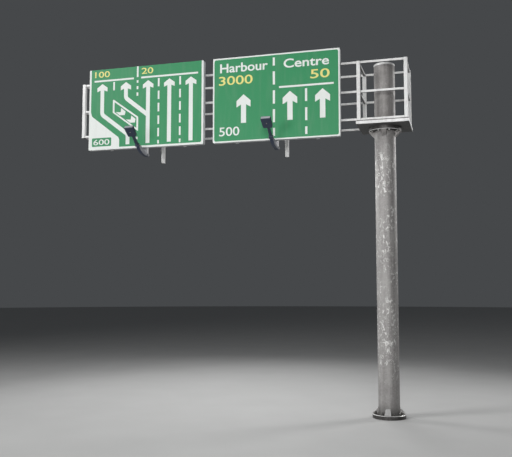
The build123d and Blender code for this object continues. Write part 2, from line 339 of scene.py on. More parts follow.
# %% Aluminium and lamp finishes
def extruded_aluminium(name, base, line, along, roughness=0.4, metallic=0.2):
    """Mill-finish extrusion; along is the axis that the draw lines follow, 0, 1 or 2."""
    material, tree, shader = new_material(name, Metallic=metallic)
    place = node(tree, "ShaderNodeTexCoord").outputs["Object"]
    stretch = [1.0, 1.0, 1.0]
    stretch[along] = 0.01
    long_way = node(tree, "ShaderNodeMapping", {"Vector": place, "Scale": stretch})
    lines = node(tree, "ShaderNodeTexNoise", {"Vector": long_way.outputs[0], "Scale": 1 / (6 * MM),
                                              "Detail": 3})
    clouds = node(tree, "ShaderNodeTexNoise", {"Vector": place, "Scale": 1 / 0.3, "Detail": 4})
    both = node(tree, "ShaderNodeMath", {0: lines.outputs["Fac"], 1: clouds.outputs["Fac"]},
                operation="MULTIPLY")
    both = node(tree, "ShaderNodeMapRange", {"Value": both.outputs[0], "From Min": 0.15, "From Max": 0.38})
    body = node(tree, "ShaderNodeMix", {0: both.outputs[0], A: linear(line), B: linear(base)},
                data_type="RGBA")
    tree.links.new(body.outputs[MIXED], shader.inputs["Base Color"])
    gloss = node(tree, "ShaderNodeMapRange", {"Value": lines.outputs["Fac"], "To Min": roughness - 0.08,
                                              "To Max": roughness + 0.15})
    tree.links.new(gloss.outputs[0], shader.inputs["Roughness"])
    bump = node(tree, "ShaderNodeBump", {"Height": lines.outputs["Fac"], "Strength": 0.15,
                                         "Distance": 0.2 * MM})
    tree.links.new(bump.outputs[0], shader.inputs["Normal"])
    return material


def powder_coat(name, base, worn, roughness=0.45, speck=3 * MM):
    """Powder coat with orange peel and slightly chalked patches."""
    material, tree, shader = new_material(name, **{"Coat Weight": 0.15, "Coat Roughness": 0.3})
    place = node(tree, "ShaderNodeTexCoord").outputs["Object"]
    chalk = node(tree, "ShaderNodeTexNoise", {"Vector": place, "Scale": 1 / 0.12, "Detail": 5})
    chalk = node(tree, "ShaderNodeMapRange", {"Value": chalk.outputs["Fac"], "From Min": 0.4, "From Max": 0.7,
                                              "To Max": 0.6}, interpolation_type="SMOOTHSTEP")
    body = node(tree, "ShaderNodeMix", {0: chalk.outputs[0], A: linear(base), B: linear(worn)},
                data_type="RGBA")
    tree.links.new(body.outputs[MIXED], shader.inputs["Base Color"])
    gloss = node(tree, "ShaderNodeMapRange", {"Value": chalk.outputs[0], "To Min": roughness,
                                              "To Max": roughness + 0.2})
    tree.links.new(gloss.outputs[0], shader.inputs["Roughness"])
    peel = node(tree, "ShaderNodeTexNoise", {"Vector": place, "Scale": 1 / speck, "Detail": 1})
    bump = node(tree, "ShaderNodeBump", {"Height": peel.outputs["Fac"], "Strength": 0.2,
                                         "Distance": 0.3 * MM})
    tree.links.new(bump.outputs[0], shader.inputs["Normal"])
    return material


# Sign backs and edges: light grey with fine level draw lines.
ALUMINIUM_X = extruded_aluminium("mill_finish_aluminium_drawn_along_x", "#CDCFD0", "#B0B2B4", along=0)
# Lamps: a dark slate blue that catches a narrow, soft highlight.
LAMP_PAINT = powder_coat("slate_powder_coat", "#1D2A40", "#2C394D")
# The brackets' flat sides and the bezels: a plain middle grey. On a bracket, these grey sides against its
# slate faces are painted light: lit sides against faces in shade.
BRACKET_PAINT = powder_coat("grey_powder_coat", "#8F9298", "#A7A9AC")
# Seals: a matt black line round the glass.
RUBBER = powder_coat("black_rubber_seal", "#17181A", "#242526", roughness=0.7, speck=1.5 * MM)
# Reflectors: a bright, nearly mirror-like cup behind the glass.
REFLECTOR = extruded_aluminium("bright_anodised_reflector", "#D9DBDC", "#C4C6C8", along=0, roughness=0.22,
                               metallic=0.9)

# Covers: clear glass, a little hazy where it was wiped.
LAMP_GLASS, tree, shader = new_material("clear_toughened_glass", IOR=1.5, **{"Transmission Weight": 0.92})
place = node(tree, "ShaderNodeTexCoord").outputs["Object"]
smear = node(tree, "ShaderNodeTexNoise", {"Vector": place, "Scale": 1 / 0.05, "Detail": 4})
haze = node(tree, "ShaderNodeMapRange", {"Value": smear.outputs["Fac"], "To Min": 0.02, "To Max": 0.16})
tree.links.new(haze.outputs[0], shader.inputs["Roughness"])
tint = node(tree, "ShaderNodeMix", {0: smear.outputs["Fac"], A: linear("#EAF3F4"), B: linear("#F6FAFA")},
            data_type="RGBA")
tree.links.new(tint.outputs[MIXED], shader.inputs["Base Color"])
print("other finishes:", [m.name for m in (ALUMINIUM_X, LAMP_PAINT, BRACKET_PAINT, RUBBER, REFLECTOR,
                                           LAMP_GLASS)])


# %% [markdown]
# ## Turning shapes into pieces
# A finished piece sits at the origin with its place in its mesh, has its faces pointing outwards and rides on
# the gantry's one body. These helpers do that, so that each step below only has to make a shape.

# %% Helpers for pieces
made_pieces = []


def finish(piece, material):
    """Give a finished mesh object its material and slot, and let it ride on the gantry."""
    if material is not None:
        piece.data.materials.clear()
        piece.data.materials.append(material)
    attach(piece, "root")
    made_pieces.append(piece.name)
    return piece


def from_bmesh(name, shape, material, smooth_angle=None):
    """Make a piece of a bmesh. Edges flatter than smooth_angle, in degrees, are shaded smooth."""
    bmesh.ops.recalc_face_normals(shape, faces=shape.faces)
    mesh = bpy.data.meshes.new(name)
    shape.to_mesh(mesh)
    shape.free()
    piece = bpy.data.objects.new(name, mesh)
    scene.collection.objects.link(piece)
    if smooth_angle is not None:
        mesh.shade_smooth()
        mesh.set_sharp_from_angle(angle=radians(smooth_angle))
    return finish(piece, material)


def add_prism(shape, outline, start, end):
    """Add the solid swept by an outline. start and end each turn a 2-D point into a 3-D one."""
    low = [shape.verts.new(start(p)) for p in outline]
    high = [shape.verts.new(end(p)) for p in outline]
    count = len(outline)
    shape.faces.new(low[::-1])
    shape.faces.new(high)
    for i in range(count):
        j = (i + 1) % count
        shape.faces.new((low[i], low[j], high[j], high[i]))


def rounded(points, radii, steps=6, closed=True):
    """Round the corners of an outline, or of an open path. There is one radius for each point."""
    points = [Vector(p) for p in points]
    made = []
    for i, (corner, radius) in enumerate(zip(points, radii)):
        if not radius or (not closed and i in (0, len(points) - 1)):
            made.append(corner)
            continue
        back = (points[i - 1] - corner).normalized()
        ahead = (points[(i + 1) % len(points)] - corner).normalized()
        half = back.angle(ahead) / 2
        centre = corner + (back + ahead).normalized() * radius / sin(half)
        start = (corner + back * radius / tan(half) - centre).normalized()
        end = (corner + ahead * radius / tan(half) - centre).normalized()
        for step in range(steps + 1):
            made.append(centre + start.slerp(end, step / steps) * radius)
    return made


def rectangle(width, height, radius=0, steps=6, centre=(0, 0)):
    """Outline of a rectangle about a centre, with rounded corners."""
    x, y = centre
    corners = [(x + i * width / 2, y + j * height / 2) for i, j in ((-1, -1), (1, -1), (1, 1), (-1, 1))]
    return rounded(corners, [radius] * 4, steps)


print("rounded 100 mm square has", len(rectangle(0.1, 0.1, 0.01)), "points")


# %% [markdown]
# ## Softened copies of the CAD plates
# Flame-cut and rolled steel never has a knife edge: light catches a small rounding along every corner. The
# bars already have their corner radii from CAD. For the lamps' brackets and arms, a copy of the CAD mesh is
# welded together, its coplanar triangles are merged, and its sharp edges get a small bevel. The copy then
# stands for the node.

# %% Softened copies
def softened(node_name, width, material, segments=2, painted_light_side_material=None):
    """Copy a CAD node with its sharp edges rounded by width, and let the copy stand for it."""
    shape = bmesh.new()
    shape.from_mesh(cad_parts[node_name].data)
    bmesh.ops.remove_doubles(shape, verts=shape.verts, dist=0.02 * MM)
    bmesh.ops.dissolve_limit(shape, angle_limit=radians(1), verts=shape.verts, edges=shape.edges)
    sharp = [e for e in shape.edges if len(e.link_faces) == 2 and e.calc_face_angle(0) > radians(25)]
    bmesh.ops.bevel(shape, geom=sharp, offset=width, segments=segments, affect="EDGES", clamp_overlap=True)
    piece = from_bmesh(node_name.replace("_", "-") + "-softened", shape, material, smooth_angle=40)
    # Painted light: faces that look sideways take the lighter second material, as lit sides against the
    # darker faces in shade.
    if painted_light_side_material is not None:
        piece.data.materials.append(painted_light_side_material)
        for face in piece.data.polygons:
            face.material_index = int(abs(face.normal.x) > 0.8)
    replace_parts(piece, node_name)
    return piece


def paint(node_name, material):
    """Give a CAD node its finish, in every material slot that it has."""
    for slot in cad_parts[node_name].material_slots:
        slot.material = material


for node_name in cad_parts:
    if node_name.startswith(("post_", "chord_", "cross_bars")):
        paint(node_name, FRAME_STEEL)
    elif node_name.startswith("sign_"):
        paint(node_name, ALUMINIUM_X)
paint("column_tube", COLUMN_STEEL)
paint("column_stub", STUB_STEEL)
for node_name in ("base_flange", "head_flange"):
    paint(node_name, FLANGE_STEEL)
paint("base_gussets", GUSSET_STEEL)
# The head gussets under the platform take the darker steel, as painted shade.
paint("head_gussets", STUB_STEEL)
for number in (1, 2):
    paint(f"lamp_{number}_glass", LAMP_GLASS)

# Brackets: slate, with grey flat sides as painted light; arms: slate.
for number in (1, 2):
    softened(f"lamp_{number}_bracket", 3 * MM, LAMP_PAINT, painted_light_side_material=BRACKET_PAINT)
    softened(f"lamp_{number}_arm", 2 * MM, LAMP_PAINT)
print("softened:", made_pieces)


# %% [markdown]
# ### The cage's platform and the column's cap
# The platform is a shallow welded box. Its deck is a thick plate in a dark steel, which is painted shade. It
# is a little smaller than the box, so that its edge draws a thin painted shadow line under the bars. The cap
# is a pressed lid with a rounded rim and a short skirt, which slips over the end of the tube. It is a lathed
# profile.

# %% Platform and cap
low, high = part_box("platform")
DECK, STEP = 20 * MM, 12 * MM
middle = ((low.x + high.x) / 2, (low.y + high.y) / 2)
wide, long = high.x - low.x, high.y - low.y
for name, foot, top, inset, material in (("platform_box", low.z, high.z - DECK, 0, FRAME_STEEL),
                                         ("platform_deck", high.z - DECK, high.z, STEP, ANCHOR_STEEL)):
    shape = bmesh.new()
    outline = rectangle(wide - 2 * inset, long - 2 * inset, 6 * MM, 3, centre=middle)
    add_prism(shape, outline, lambda p: Vector((*p, foot)), lambda p: Vector((*p, top)))
    rims = [e for e in shape.edges if e.calc_face_angle(0) > radians(60)
            and e.verts[0].co.z == e.verts[1].co.z]
    bmesh.ops.bevel(shape, geom=rims, offset=2 * MM, segments=2, affect="EDGES", clamp_overlap=True)
    piece = from_bmesh(name, shape, material, smooth_angle=35)
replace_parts(piece, "platform")

low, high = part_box("column_cap")
SKIRT, SHEET, SIDES = 26 * MM, 2.5 * MM, 96
PINHOLE, RIM_ROUND, INNER_ROUND = 0.5 * MM, 24 * MM, 22 * MM
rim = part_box("column_tube")[1].x + SHEET
profile = rounded([(PINHOLE, high.z), (rim, high.z), (rim, low.z - SKIRT), (rim - SHEET, low.z - SKIRT),
                   (rim - SHEET, high.z - SHEET), (PINHOLE, high.z - SHEET)],
                  [0, RIM_ROUND, 0, 0, INNER_ROUND, 0], 8)
shape = bmesh.new()
rings = [[shape.verts.new((p.x * cos(2 * pi * i / SIDES), p.x * sin(2 * pi * i / SIDES), p.y))
          for p in profile] for i in range(SIDES)]
for i in range(SIDES):
    near, far = rings[i], rings[(i + 1) % SIDES]
    for j in range(len(profile)):
        k = (j + 1) % len(profile)
        shape.faces.new((near[j], far[j], far[k], near[k]))
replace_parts(from_bmesh("cap_with_skirt", shape, FRAME_STEEL, smooth_angle=35), "column_cap")
print("platform", round(wide, 3), "by", round(long, 3), "m; cap radius", round(rim, 4), "m")

# %% [markdown]
# ## Sign faces
# Each face starts as one green sheet that covers the plate to its edge. The border, arrows, rules and lane
# lines are films stuck on top. A film is 0.5 mm thick, so it is modelled as a thin closed solid, and each
# next layer sits that much further out. Places on a face are given as u, to the right, and v, upwards, from
# the sign's lower left corner. The real signs name towns and road numbers; here plain counting numbers and
# two generic words stand in their place.

# %% Places on a sign's face
FILM = 0.5 * MM
signs = {}
for number in ("1", "2"):
    low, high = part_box(f"sign_{number}_plate")
    signs[number] = {"left": low.x, "front": low.y, "bottom": low.z, "width": high.x - low.x,
                     "height": high.z - low.z}
print({n: {k: round(v, 3) for k, v in s.items()} for n, s in signs.items()})


def on_face(number, layer):
    """The map from u and v to a point on the layer, counted outwards from the bare plate."""
    sign = signs[number]
    return lambda p: Vector((sign["left"] + p[0], sign["front"] - layer * FILM, sign["bottom"] + p[1]))


def film(name, number, outlines, layer, material):
    """One piece of cut films on a sign's face, all on the same layer."""
    shape = bmesh.new()
    for outline in outlines:
        add_prism(shape, outline, on_face(number, layer), on_face(number, layer + 1))
    return from_bmesh(name, shape, material)


def band(outer, inner, shape, number, layer):
    """Add a closed ring of film between two outlines that have as many points."""
    rings = [[shape.verts.new(on_face(number, layer + lift)(p)) for p in outline]
             for outline in (outer, inner) for lift in (0, 1)]
    back_outer, front_outer, back_inner, front_inner = rings
    count = len(outer)
    for i in range(count):
        j = (i + 1) % count
        for a, b in ((front_outer, front_inner), (front_inner, back_inner), (back_inner, back_outer),
                     (back_outer, front_outer)):
            shape.faces.new((a[i], a[j], b[j], b[i]))


# %% [markdown]
# ### Ground sheet and borders
# The right-hand sign has a white border all round. The left-hand sign is the lower part of a taller layout,
# so its border runs down the left, along the bottom and up the right, and stops at the top edge.

# %% Ground sheets and borders
CORNER = 22 * MM
INNER_CORNER = 45 * MM
BORDERS = {"1": 47 * MM, "2": 32 * MM}

for number, sign in signs.items():
    middle = (sign["width"] / 2, sign["height"] / 2)
    outline = rectangle(sign["width"], sign["height"], CORNER, centre=middle)
    plate = bmesh.new()
    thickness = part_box(f"sign_{number}_plate")[1].y - sign["front"]
    add_prism(plate, outline, on_face(number, -thickness / FILM), on_face(number, 0))
    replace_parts(from_bmesh(f"sign_{number}_back_plate", plate, ALUMINIUM_X),
                f"sign_{number}_plate")
    film(f"sign_{number}_ground_sheet", number,
         [rectangle(sign["width"], sign["height"], CORNER, centre=middle)], 0, GREEN)

sign = signs["2"]
middle = (sign["width"] / 2, sign["height"] / 2)
ring = bmesh.new()
edge = 2 * BORDERS["2"]
band(rectangle(sign["width"], sign["height"], CORNER, centre=middle),
     rectangle(sign["width"] - edge, sign["height"] - edge, INNER_CORNER, centre=middle), ring, "2", 1)
from_bmesh("sign_2_border", ring, WHITE)

wide, tall, edge = signs["1"]["width"], signs["1"]["height"], BORDERS["1"]
trough = [(0, tall), (0, 0), (wide, 0), (wide, tall), (wide - edge, tall), (wide - edge, edge), (edge, edge),
          (edge, tall)]
trough = rounded(trough, [CORNER, CORNER, CORNER, CORNER, 0, INNER_CORNER, 0, 0])
film("sign_1_border", "1", [trough], 1, WHITE)
print("border widths in metres:", BORDERS)


# %% [markdown]
# ### Lane arrows
# An arrow is one outline: a pointed head with upright sides, a notch on each side, and a stem that follows
# a path. A stem that bends is the path's two parallel edges, with the path's corner rounded first.

# %% Arrows
def stem_sides(path, half):
    """The two edges of a stem of half-width half that follows a path downwards."""
    right, left = [], []
    for i, point in enumerate(path):
        before = path[max(i - 1, 0)]
        after = path[min(i + 1, len(path) - 1)]
        towards = (Vector(after) - Vector(before)).normalized()
        side = Vector((-towards.y, towards.x)) * half
        right.append(Vector(point) + side)
        left.append(Vector(point) - side)
    return right, left


def arrow(tip, head, stem, path, proportions):
    """Outline of an arrow, from half-widths of head and stem and drops of shoulder, heel and notch."""
    shoulder, heel, notch = (Vector((0, -drop)) for drop in proportions)
    tip = Vector(tip)
    right, left = stem_sides(path, stem)
    across, neck = Vector((head, 0)), Vector((stem, 0))
    right_half = [tip + across + shoulder, tip + across + heel, tip + neck + notch]
    left_half = [tip - neck + notch, tip - across + heel, tip - across + shoulder]
    return [tip, *right_half, *right[1:], *left[:0:-1], *left_half][::-1]


ARROW_TOP, STEM_FOOT = 1.588, 0.098
HEAD_1, STEM_1, DROPS_1 = 0.133, 0.049, (0.095, 0.19, 0.155)
BEND = 0.11
lane_arrows = []
for u in (1.523, 2.058, 2.591):
    lane_arrows.append(arrow((u, ARROW_TOP), HEAD_1, STEM_1, [(u, ARROW_TOP - 0.155), (u, STEM_FOOT)],
                             DROPS_1))
exit_path = rounded([(0.339, 1.43), (0.341, 0.846), (1.014, 0.335), (1.014, STEM_FOOT)], [0, BEND, BEND, 0],
                    closed=False)
lane_arrows.append(arrow((0.339, ARROW_TOP), HEAD_1, STEM_1, exit_path, DROPS_1))
branch_end = 1.523 - STEM_1
branch_path = rounded([(0.954, 1.43), (0.956, 1.205), (1.6, 0.705)], [0, BEND, 0], closed=False)
branch = arrow((0.954, ARROW_TOP), HEAD_1, STEM_1, branch_path, DROPS_1)


def cut_at(outline, limit):
    """Keep the part of an outline to the left of an upright line."""
    kept = []
    for i, point in enumerate(outline):
        ahead = outline[(i + 1) % len(outline)]
        if point.x <= limit:
            kept.append(point)
        if (point.x - limit) * (ahead.x - limit) < 0:
            kept.append(point.lerp(ahead, (limit - point.x) / (ahead.x - point.x)))
    return kept


lane_arrows.append(cut_at(branch, branch_end))
film("sign_1_lane_arrows", "1", lane_arrows, 1, WHITE)

HEAD_2, STEM_2, DROPS_2 = 0.164, 0.06, (0.145, 0.29, 0.23)
straight_arrows = []
for u, top, foot in ((0.724, 1.073, 0.424), (1.791, 1.07, 0.421), (2.518, 1.073, 0.423)):
    straight_arrows.append(arrow((u, top), HEAD_2, STEM_2, [(u, top - 0.23), (u, foot)], DROPS_2))
film("sign_2_lane_arrows", "2", straight_arrows, 1, WHITE)
print("arrows:", len(lane_arrows), "and", len(straight_arrows))

# %% [markdown]
# ### Rules, the chevron panel and the white corner
# The left-hand sign also shows how the exit lane leaves: a slanted frame with two chevrons, and a white
# corner where the carriageway ends, with a small green panel for the distance.

# %% Rules, chevrons and the white corner
RULE = 0.042
rule_1 = [rectangle(1.03, RULE, centre=(0.641, 1.661)), rectangle(1.421, RULE, centre=(2.0535, 1.665))]
divider = [rectangle(0.043, tall - 1.685, centre=(1.252, (tall + 1.685) / 2))]
chevrons = [[(0.84, 0.972), (0.952, 0.882), (0.934, 0.798), (0.803, 0.8), (0.7, 0.883), (0.826, 0.872)],
            [(1.102, 0.776), (1.212, 0.688), (1.197, 0.604), (1.07, 0.606), (0.965, 0.688), (1.09, 0.678)]]
corner = rounded([(edge, edge), (0.798, edge), (0.798, 0.262), (0.075, 0.815), (edge, 0.93)],
                 [0, 0, 0.11, 0.09, 0])
film("sign_1_rules", "1", rule_1 + divider + [c[::-1] for c in chevrons] + [corner], 1, WHITE)

slanted = bmesh.new()
band(rounded([(0.62, 1.203), (0.62, 0.874), (1.28, 0.392), (1.28, 0.735)], [0.02, 0.03, 0.01, 0.03]),
     rounded([(0.665, 1.125), (0.665, 0.885), (1.236, 0.47), (1.236, 0.715)], [0.004, 0.012, 0.004, 0.012]),
     slanted, "1", 1)
from_bmesh("sign_1_slanted_frame", slanted, WHITE)
film("sign_1_distance_panel", "1", [rectangle(0.505, 0.205, 0.025, centre=(0.339, 0.184))], 2, GREEN)

film("sign_2_rule", "2", [rectangle(1.222, RULE, centre=(2.156, 1.172))], 1, WHITE)
print("rules and panels placed")


# %% [markdown]
# ## Growing parts with Geometry Nodes
# Bolts, weld beads, rivets and lane lines are the same shape again and again, or follow a path. Each is a
# Geometry Nodes tree with named inputs. A tree is run on a host, which is a mesh of bare points or wires,
# and its result is kept as a plain mesh. A host's points can carry attributes, such as the direction that a
# bolt points in.

# %% Helpers for Geometry Nodes
SOCKETS = {float: "NodeSocketFloat", int: "NodeSocketInt", bpy.types.Material: "NodeSocketMaterial"}


def new_tree(name, inputs):
    """A Geometry Nodes tree with named inputs; returns the tree and the outputs of its input node."""
    tree = bpy.data.node_groups.new(name, "GeometryNodeTree")
    tree.interface.new_socket("Host", in_out="INPUT", socket_type="NodeSocketGeometry")
    tree.interface.new_socket("Material", in_out="INPUT", socket_type="NodeSocketMaterial")
    for key, value in inputs.items():
        socket = tree.interface.new_socket(key, in_out="INPUT", socket_type=SOCKETS[type(value)])
        socket.default_value = value
    tree.interface.new_socket("Result", in_out="OUTPUT", socket_type="NodeSocketGeometry")
    return tree, tree.nodes.new("NodeGroupInput").outputs


def end_tree(tree, geometry, inputs):
    """End a tree: instances become real, and everything gets the material."""
    real = node(tree, "GeometryNodeRealizeInstances", {"Geometry": geometry})
    painted = node(tree, "GeometryNodeSetMaterial", {"Geometry": real.outputs[0],
                                                     "Material": inputs["Material"]})
    node(tree, "NodeGroupOutput", {"Result": painted.outputs[0]})


def wires(points, edges=(), **attributes):
    """A host mesh of points and edges; an attribute has one number or one vector for each point."""
    mesh = bpy.data.meshes.new("host")
    mesh.from_pydata([tuple(p) for p in points], [tuple(e) for e in edges], [])
    for key, values in attributes.items():
        if isinstance(values[0], (int, float)):
            made = mesh.attributes.new(key, "FLOAT", "POINT")
            made.data.foreach_set("value", [float(v) for v in values])
        else:
            made = mesh.attributes.new(key, "FLOAT_VECTOR", "POINT")
            made.data.foreach_set("vector", [float(c) for v in values for c in v])
    return mesh


def loops(paths, closed=True):
    """A host mesh of several paths, each a chain of edges."""
    points, edges = [], []
    for path in paths:
        first = len(points)
        points += path
        edges += [(first + i, first + i + 1) for i in range(len(path) - 1)]
        if closed:
            edges.append((first + len(path) - 1, first))
    return wires(points, edges)


def grow(name, tree, host, material, slot, smooth_angle=35, **values):
    """Run a tree on a host mesh and keep the result as one plain mesh piece."""
    holder = bpy.data.objects.new(f"{name}_host", host)
    scene.collection.objects.link(holder)
    modifier = holder.modifiers.new("nodes", "NODES")
    modifier.node_group = tree
    values["Material"] = material
    for item in tree.interface.items_tree:
        if item.in_out == "INPUT" and item.name in values:
            modifier[item.identifier] = values[item.name]
    evaluated = holder.evaluated_get(bpy.context.evaluated_depsgraph_get())
    mesh = bpy.data.meshes.new_from_object(evaluated)
    bpy.data.objects.remove(holder)
    shape = bmesh.new()
    shape.from_mesh(mesh)
    bpy.data.meshes.remove(mesh)
    layers = shape.verts.layers
    for kind, attribute in ((layers.float_vector, "direction"), (layers.float, "length")):
        if kind.get(attribute) is not None:
            kind.remove(kind.get(attribute))
    return from_bmesh(name, shape, material, smooth_angle)


# %% [markdown]
# ### Lane lines
# The broken lines between lanes are plain rectangles of white sheet. A host point marks the middle of each
# dash, its attribute gives the dash's length, and the tree puts a box of the film's thickness on it.

# %% Lane lines
dash_tree, given = new_tree("lane_dashes", {"Width": RULE, "Thickness": FILM})
length = node(dash_tree, "GeometryNodeInputNamedAttribute", {"Name": "length"}, data_type="FLOAT")
size = node(dash_tree, "ShaderNodeCombineXYZ", {"X": given["Width"], "Y": given["Thickness"],
                                                "Z": length.outputs[0]})
box = node(dash_tree, "GeometryNodeMeshCube", {"Size": (1, 1, 1)})
dashes = node(dash_tree, "GeometryNodeInstanceOnPoints",
              {"Points": given["Host"], "Instance": box.outputs[0], "Scale": size.outputs[0]})
end_tree(dash_tree, dashes.outputs[0], given)

ROW_1 = [(1.615, 1.42), (1.318, 1.118), (1.03, 0.826), (0.732, 0.53), (0.44, 0.24), (0.155, 0.07)]
lane_lines = {
    "1": {0.644: [(1.613, 1.413)], 1.252: [(1.61, 1.547), (1.465, 1.391), (1.316, 1.236), (0.262, 0.205)],
          1.79: ROW_1, 2.325: ROW_1},
    "2": {1.427: [(1.854, 1.669), (1.539, 1.24), (1.11, 0.81), (0.685, 0.391), (0.266, 0.085)],
          2.154: [(1.102, 0.815), (0.677, 0.39), (0.253, 0.084)]},
}
for number, rows in lane_lines.items():
    spots = [(u, top, foot) for u, row in rows.items() for top, foot in row]
    face = on_face(number, 1.5)
    host = wires([face((u, (top + foot) / 2)) for u, top, foot in spots],
                 length=[top - foot for u, top, foot in spots])
    grow(f"sign_{number}_lane_lines", dash_tree, host, WHITE, "sign_face", Width=0.042 if number == "1"
         else 0.05)
print("dashes:", {n: sum(len(r) for r in rows.values()) for n, rows in lane_lines.items()})


# %% [markdown]
# ### Lettering
# Letters and figures are cut from sheet too. Blender's built-in face is emboldened a little, and each line
# is stretched to the width and the height that it has on the sign. Emboldening fills the pointed hole of a
# 4 in this face, so the numbers do without that figure.

# %% Lettering
def lettering(name, body, number, span, rows, layer, material, bold=0.008):
    """One line of text that fills a span of u, from its baseline to the top of its capitals."""
    curve = bpy.data.curves.new(name, "FONT")
    curve.body = body
    curve.offset = bold
    curve.extrude = 0.1
    curve.resolution_u = 5
    holder = bpy.data.objects.new(f"{name}_host", curve)
    scene.collection.objects.link(holder)
    mesh = bpy.data.meshes.new_from_object(holder.evaluated_get(bpy.context.evaluated_depsgraph_get()))
    bpy.data.objects.remove(holder)
    bpy.data.curves.remove(curve)
    shape = bmesh.new()
    shape.from_mesh(mesh)
    bpy.data.meshes.remove(mesh)
    bmesh.ops.remove_doubles(shape, verts=shape.verts, dist=0.0001)
    left, right = (pick(v.co.x for v in shape.verts) for pick in (min, max))
    top = max(v.co.y for v in shape.verts)
    low, high = on_face(number, layer), on_face(number, layer + 1)
    for v in shape.verts:
        u = span[0] + (v.co.x - left) / (right - left) * (span[1] - span[0])
        place = (u, rows[0] + v.co.y / top * (rows[1] - rows[0]))
        v.co = high(place) if v.co.z > 0 else low(place)
    return from_bmesh(name, shape, material)


WORD_BOLD = 0.018
LINES = [
    ("sign_1_number_a", "100", "1", (0.139, 0.529), (1.75, 1.892), 1, YELLOW),
    ("sign_1_number_b", "20", "1", (1.354, 1.648), (1.75, 1.892), 1, YELLOW),
    ("sign_1_distance", "600", "1", (0.125, 0.545), (0.12, 0.25), 3, WHITE),
    ("sign_2_word_a", "Harbour", "2", (0.168, 1.289), (1.603, 1.807), 1, WHITE, WORD_BOLD),
    ("sign_2_word_b", "Centre", "2", (1.65, 2.667), (1.6, 1.8), 1, WHITE, WORD_BOLD),
    ("sign_2_number_a", "3000", "2", (0.142, 0.936), (1.314, 1.515), 1, YELLOW),
    ("sign_2_number_b", "50", "2", (2.25, 2.677), (1.313, 1.51), 1, YELLOW),
    ("sign_2_distance", "500", "2", (0.15, 0.627), (0.15, 0.35), 1, WHITE),
]
for line in LINES:
    lettering(*line)
print("lettered:", [line[1] for line in LINES])

# %% [markdown]
# ### The edge frame of a sign
# A thin plate that size would flap, so an extruded aluminium channel runs round its edge, bent at the
# corners, with its open side facing inwards. Four I-sections cross the back. The tree sweeps a drawn
# section along the sign's outline. The path is drawn flat, where "up" is certain, and then the whole frame
# is stood up.

# %% Edge channels
channel_tree, given = new_tree("edge_channel", {"Depth": 0.115, "Lip": 0.04, "Wall": 4 * MM})
path = node(channel_tree, "GeometryNodeMeshToCurve", {"Mesh": given["Host"]})
path = node(channel_tree, "GeometryNodeSetCurveNormal", {"Curve": path.outputs[0]}, mode="Z_UP")
web_size = node(channel_tree, "GeometryNodeCurvePrimitiveQuadrilateral", {"Width": given["Wall"],
                                                                         "Height": given["Depth"]})
lip_size = node(channel_tree, "GeometryNodeCurvePrimitiveQuadrilateral", {"Width": given["Lip"],
                                                                         "Height": given["Wall"]})


def share(size, factor):
    """A share of one of the channel's named sizes; minus means inwards."""
    return node(channel_tree, "ShaderNodeMath", {0: given[size], 1: factor}, operation="MULTIPLY").outputs[0]


half_wall, half_depth = share("Wall", 0.5), share("Depth", 0.5)
inner_wall, inner_lip = share("Wall", -0.5), share("Lip", -0.5)
lip_low = node(channel_tree, "ShaderNodeMath", {0: half_wall, 1: half_depth}, operation="SUBTRACT").outputs[0]
lip_high = node(channel_tree, "ShaderNodeMath", {0: half_depth, 1: half_wall},
                operation="SUBTRACT").outputs[0]
sections = node(channel_tree, "GeometryNodeJoinGeometry")
for across, up, outline in ((inner_wall, None, web_size), (inner_lip, lip_low, lip_size),
                            (inner_lip, lip_high, lip_size)):
    inset = node(channel_tree, "ShaderNodeCombineXYZ", {"X": across, **({"Y": up} if up else {})})
    placed = node(channel_tree, "GeometryNodeTransform", {"Geometry": outline.outputs[0],
                                                          "Translation": inset.outputs[0]})
    swept = node(channel_tree, "GeometryNodeCurveToMesh", {"Curve": path.outputs[0],
                                                           "Profile Curve": placed.outputs[0]})
    channel_tree.links.new(swept.outputs[0], sections.inputs[0])
stood = node(channel_tree, "GeometryNodeTransform", {"Geometry": sections.outputs[0],
                                                     "Rotation": (pi / 2, 0, 0)})
end_tree(channel_tree, stood.outputs[0], given)

for number, sign in signs.items():
    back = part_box(f"sign_{number}_top_rail")
    depth = back[1].y - back[0].y
    mid_y = (back[0].y + back[1].y) / 2
    centre = (sign["left"] + sign["width"] / 2, sign["bottom"] + sign["height"] / 2)
    outline = rectangle(sign["width"], sign["height"], CORNER, centre=centre)
    host = loops([[(p.x, p.y, -mid_y) for p in outline]])
    piece = grow(f"sign_{number}_edge_channel", channel_tree, host, ALUMINIUM_X, "sign_rail", Depth=depth)
    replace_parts(piece, *(f"sign_{number}_{side}_rail" for side in ("top", "bottom", "left", "right")))
    print(piece.name, [round(v, 3) for v in piece.bound_box[0]], [round(v, 3) for v in piece.bound_box[6]])


# %% [markdown]
# ### Stiffeners, rivets and bearers behind a sign
# Four aluminium sections cross each sign's back, and blind rivets hold the sheet to their front flanges, on
# both sides of the web. Two upright steel bearers per sign carry those sections. The bearers are rolled
# I-sections, so they take the place of the solid CAD bars.

# %% Stiffeners and bearers
def i_section(width, depth, web, flange):
    """Outline of an I-section about its middle; depth runs along the second coordinate."""
    w, d, t, f = width / 2, depth / 2, web / 2, depth / 2 - flange
    return [(-w, -d), (w, -d), (w, -f), (t, -f), (t, f), (w, f), (w, d), (-w, d), (-w, f), (-t, f), (-t, -f),
            (-w, -f)]


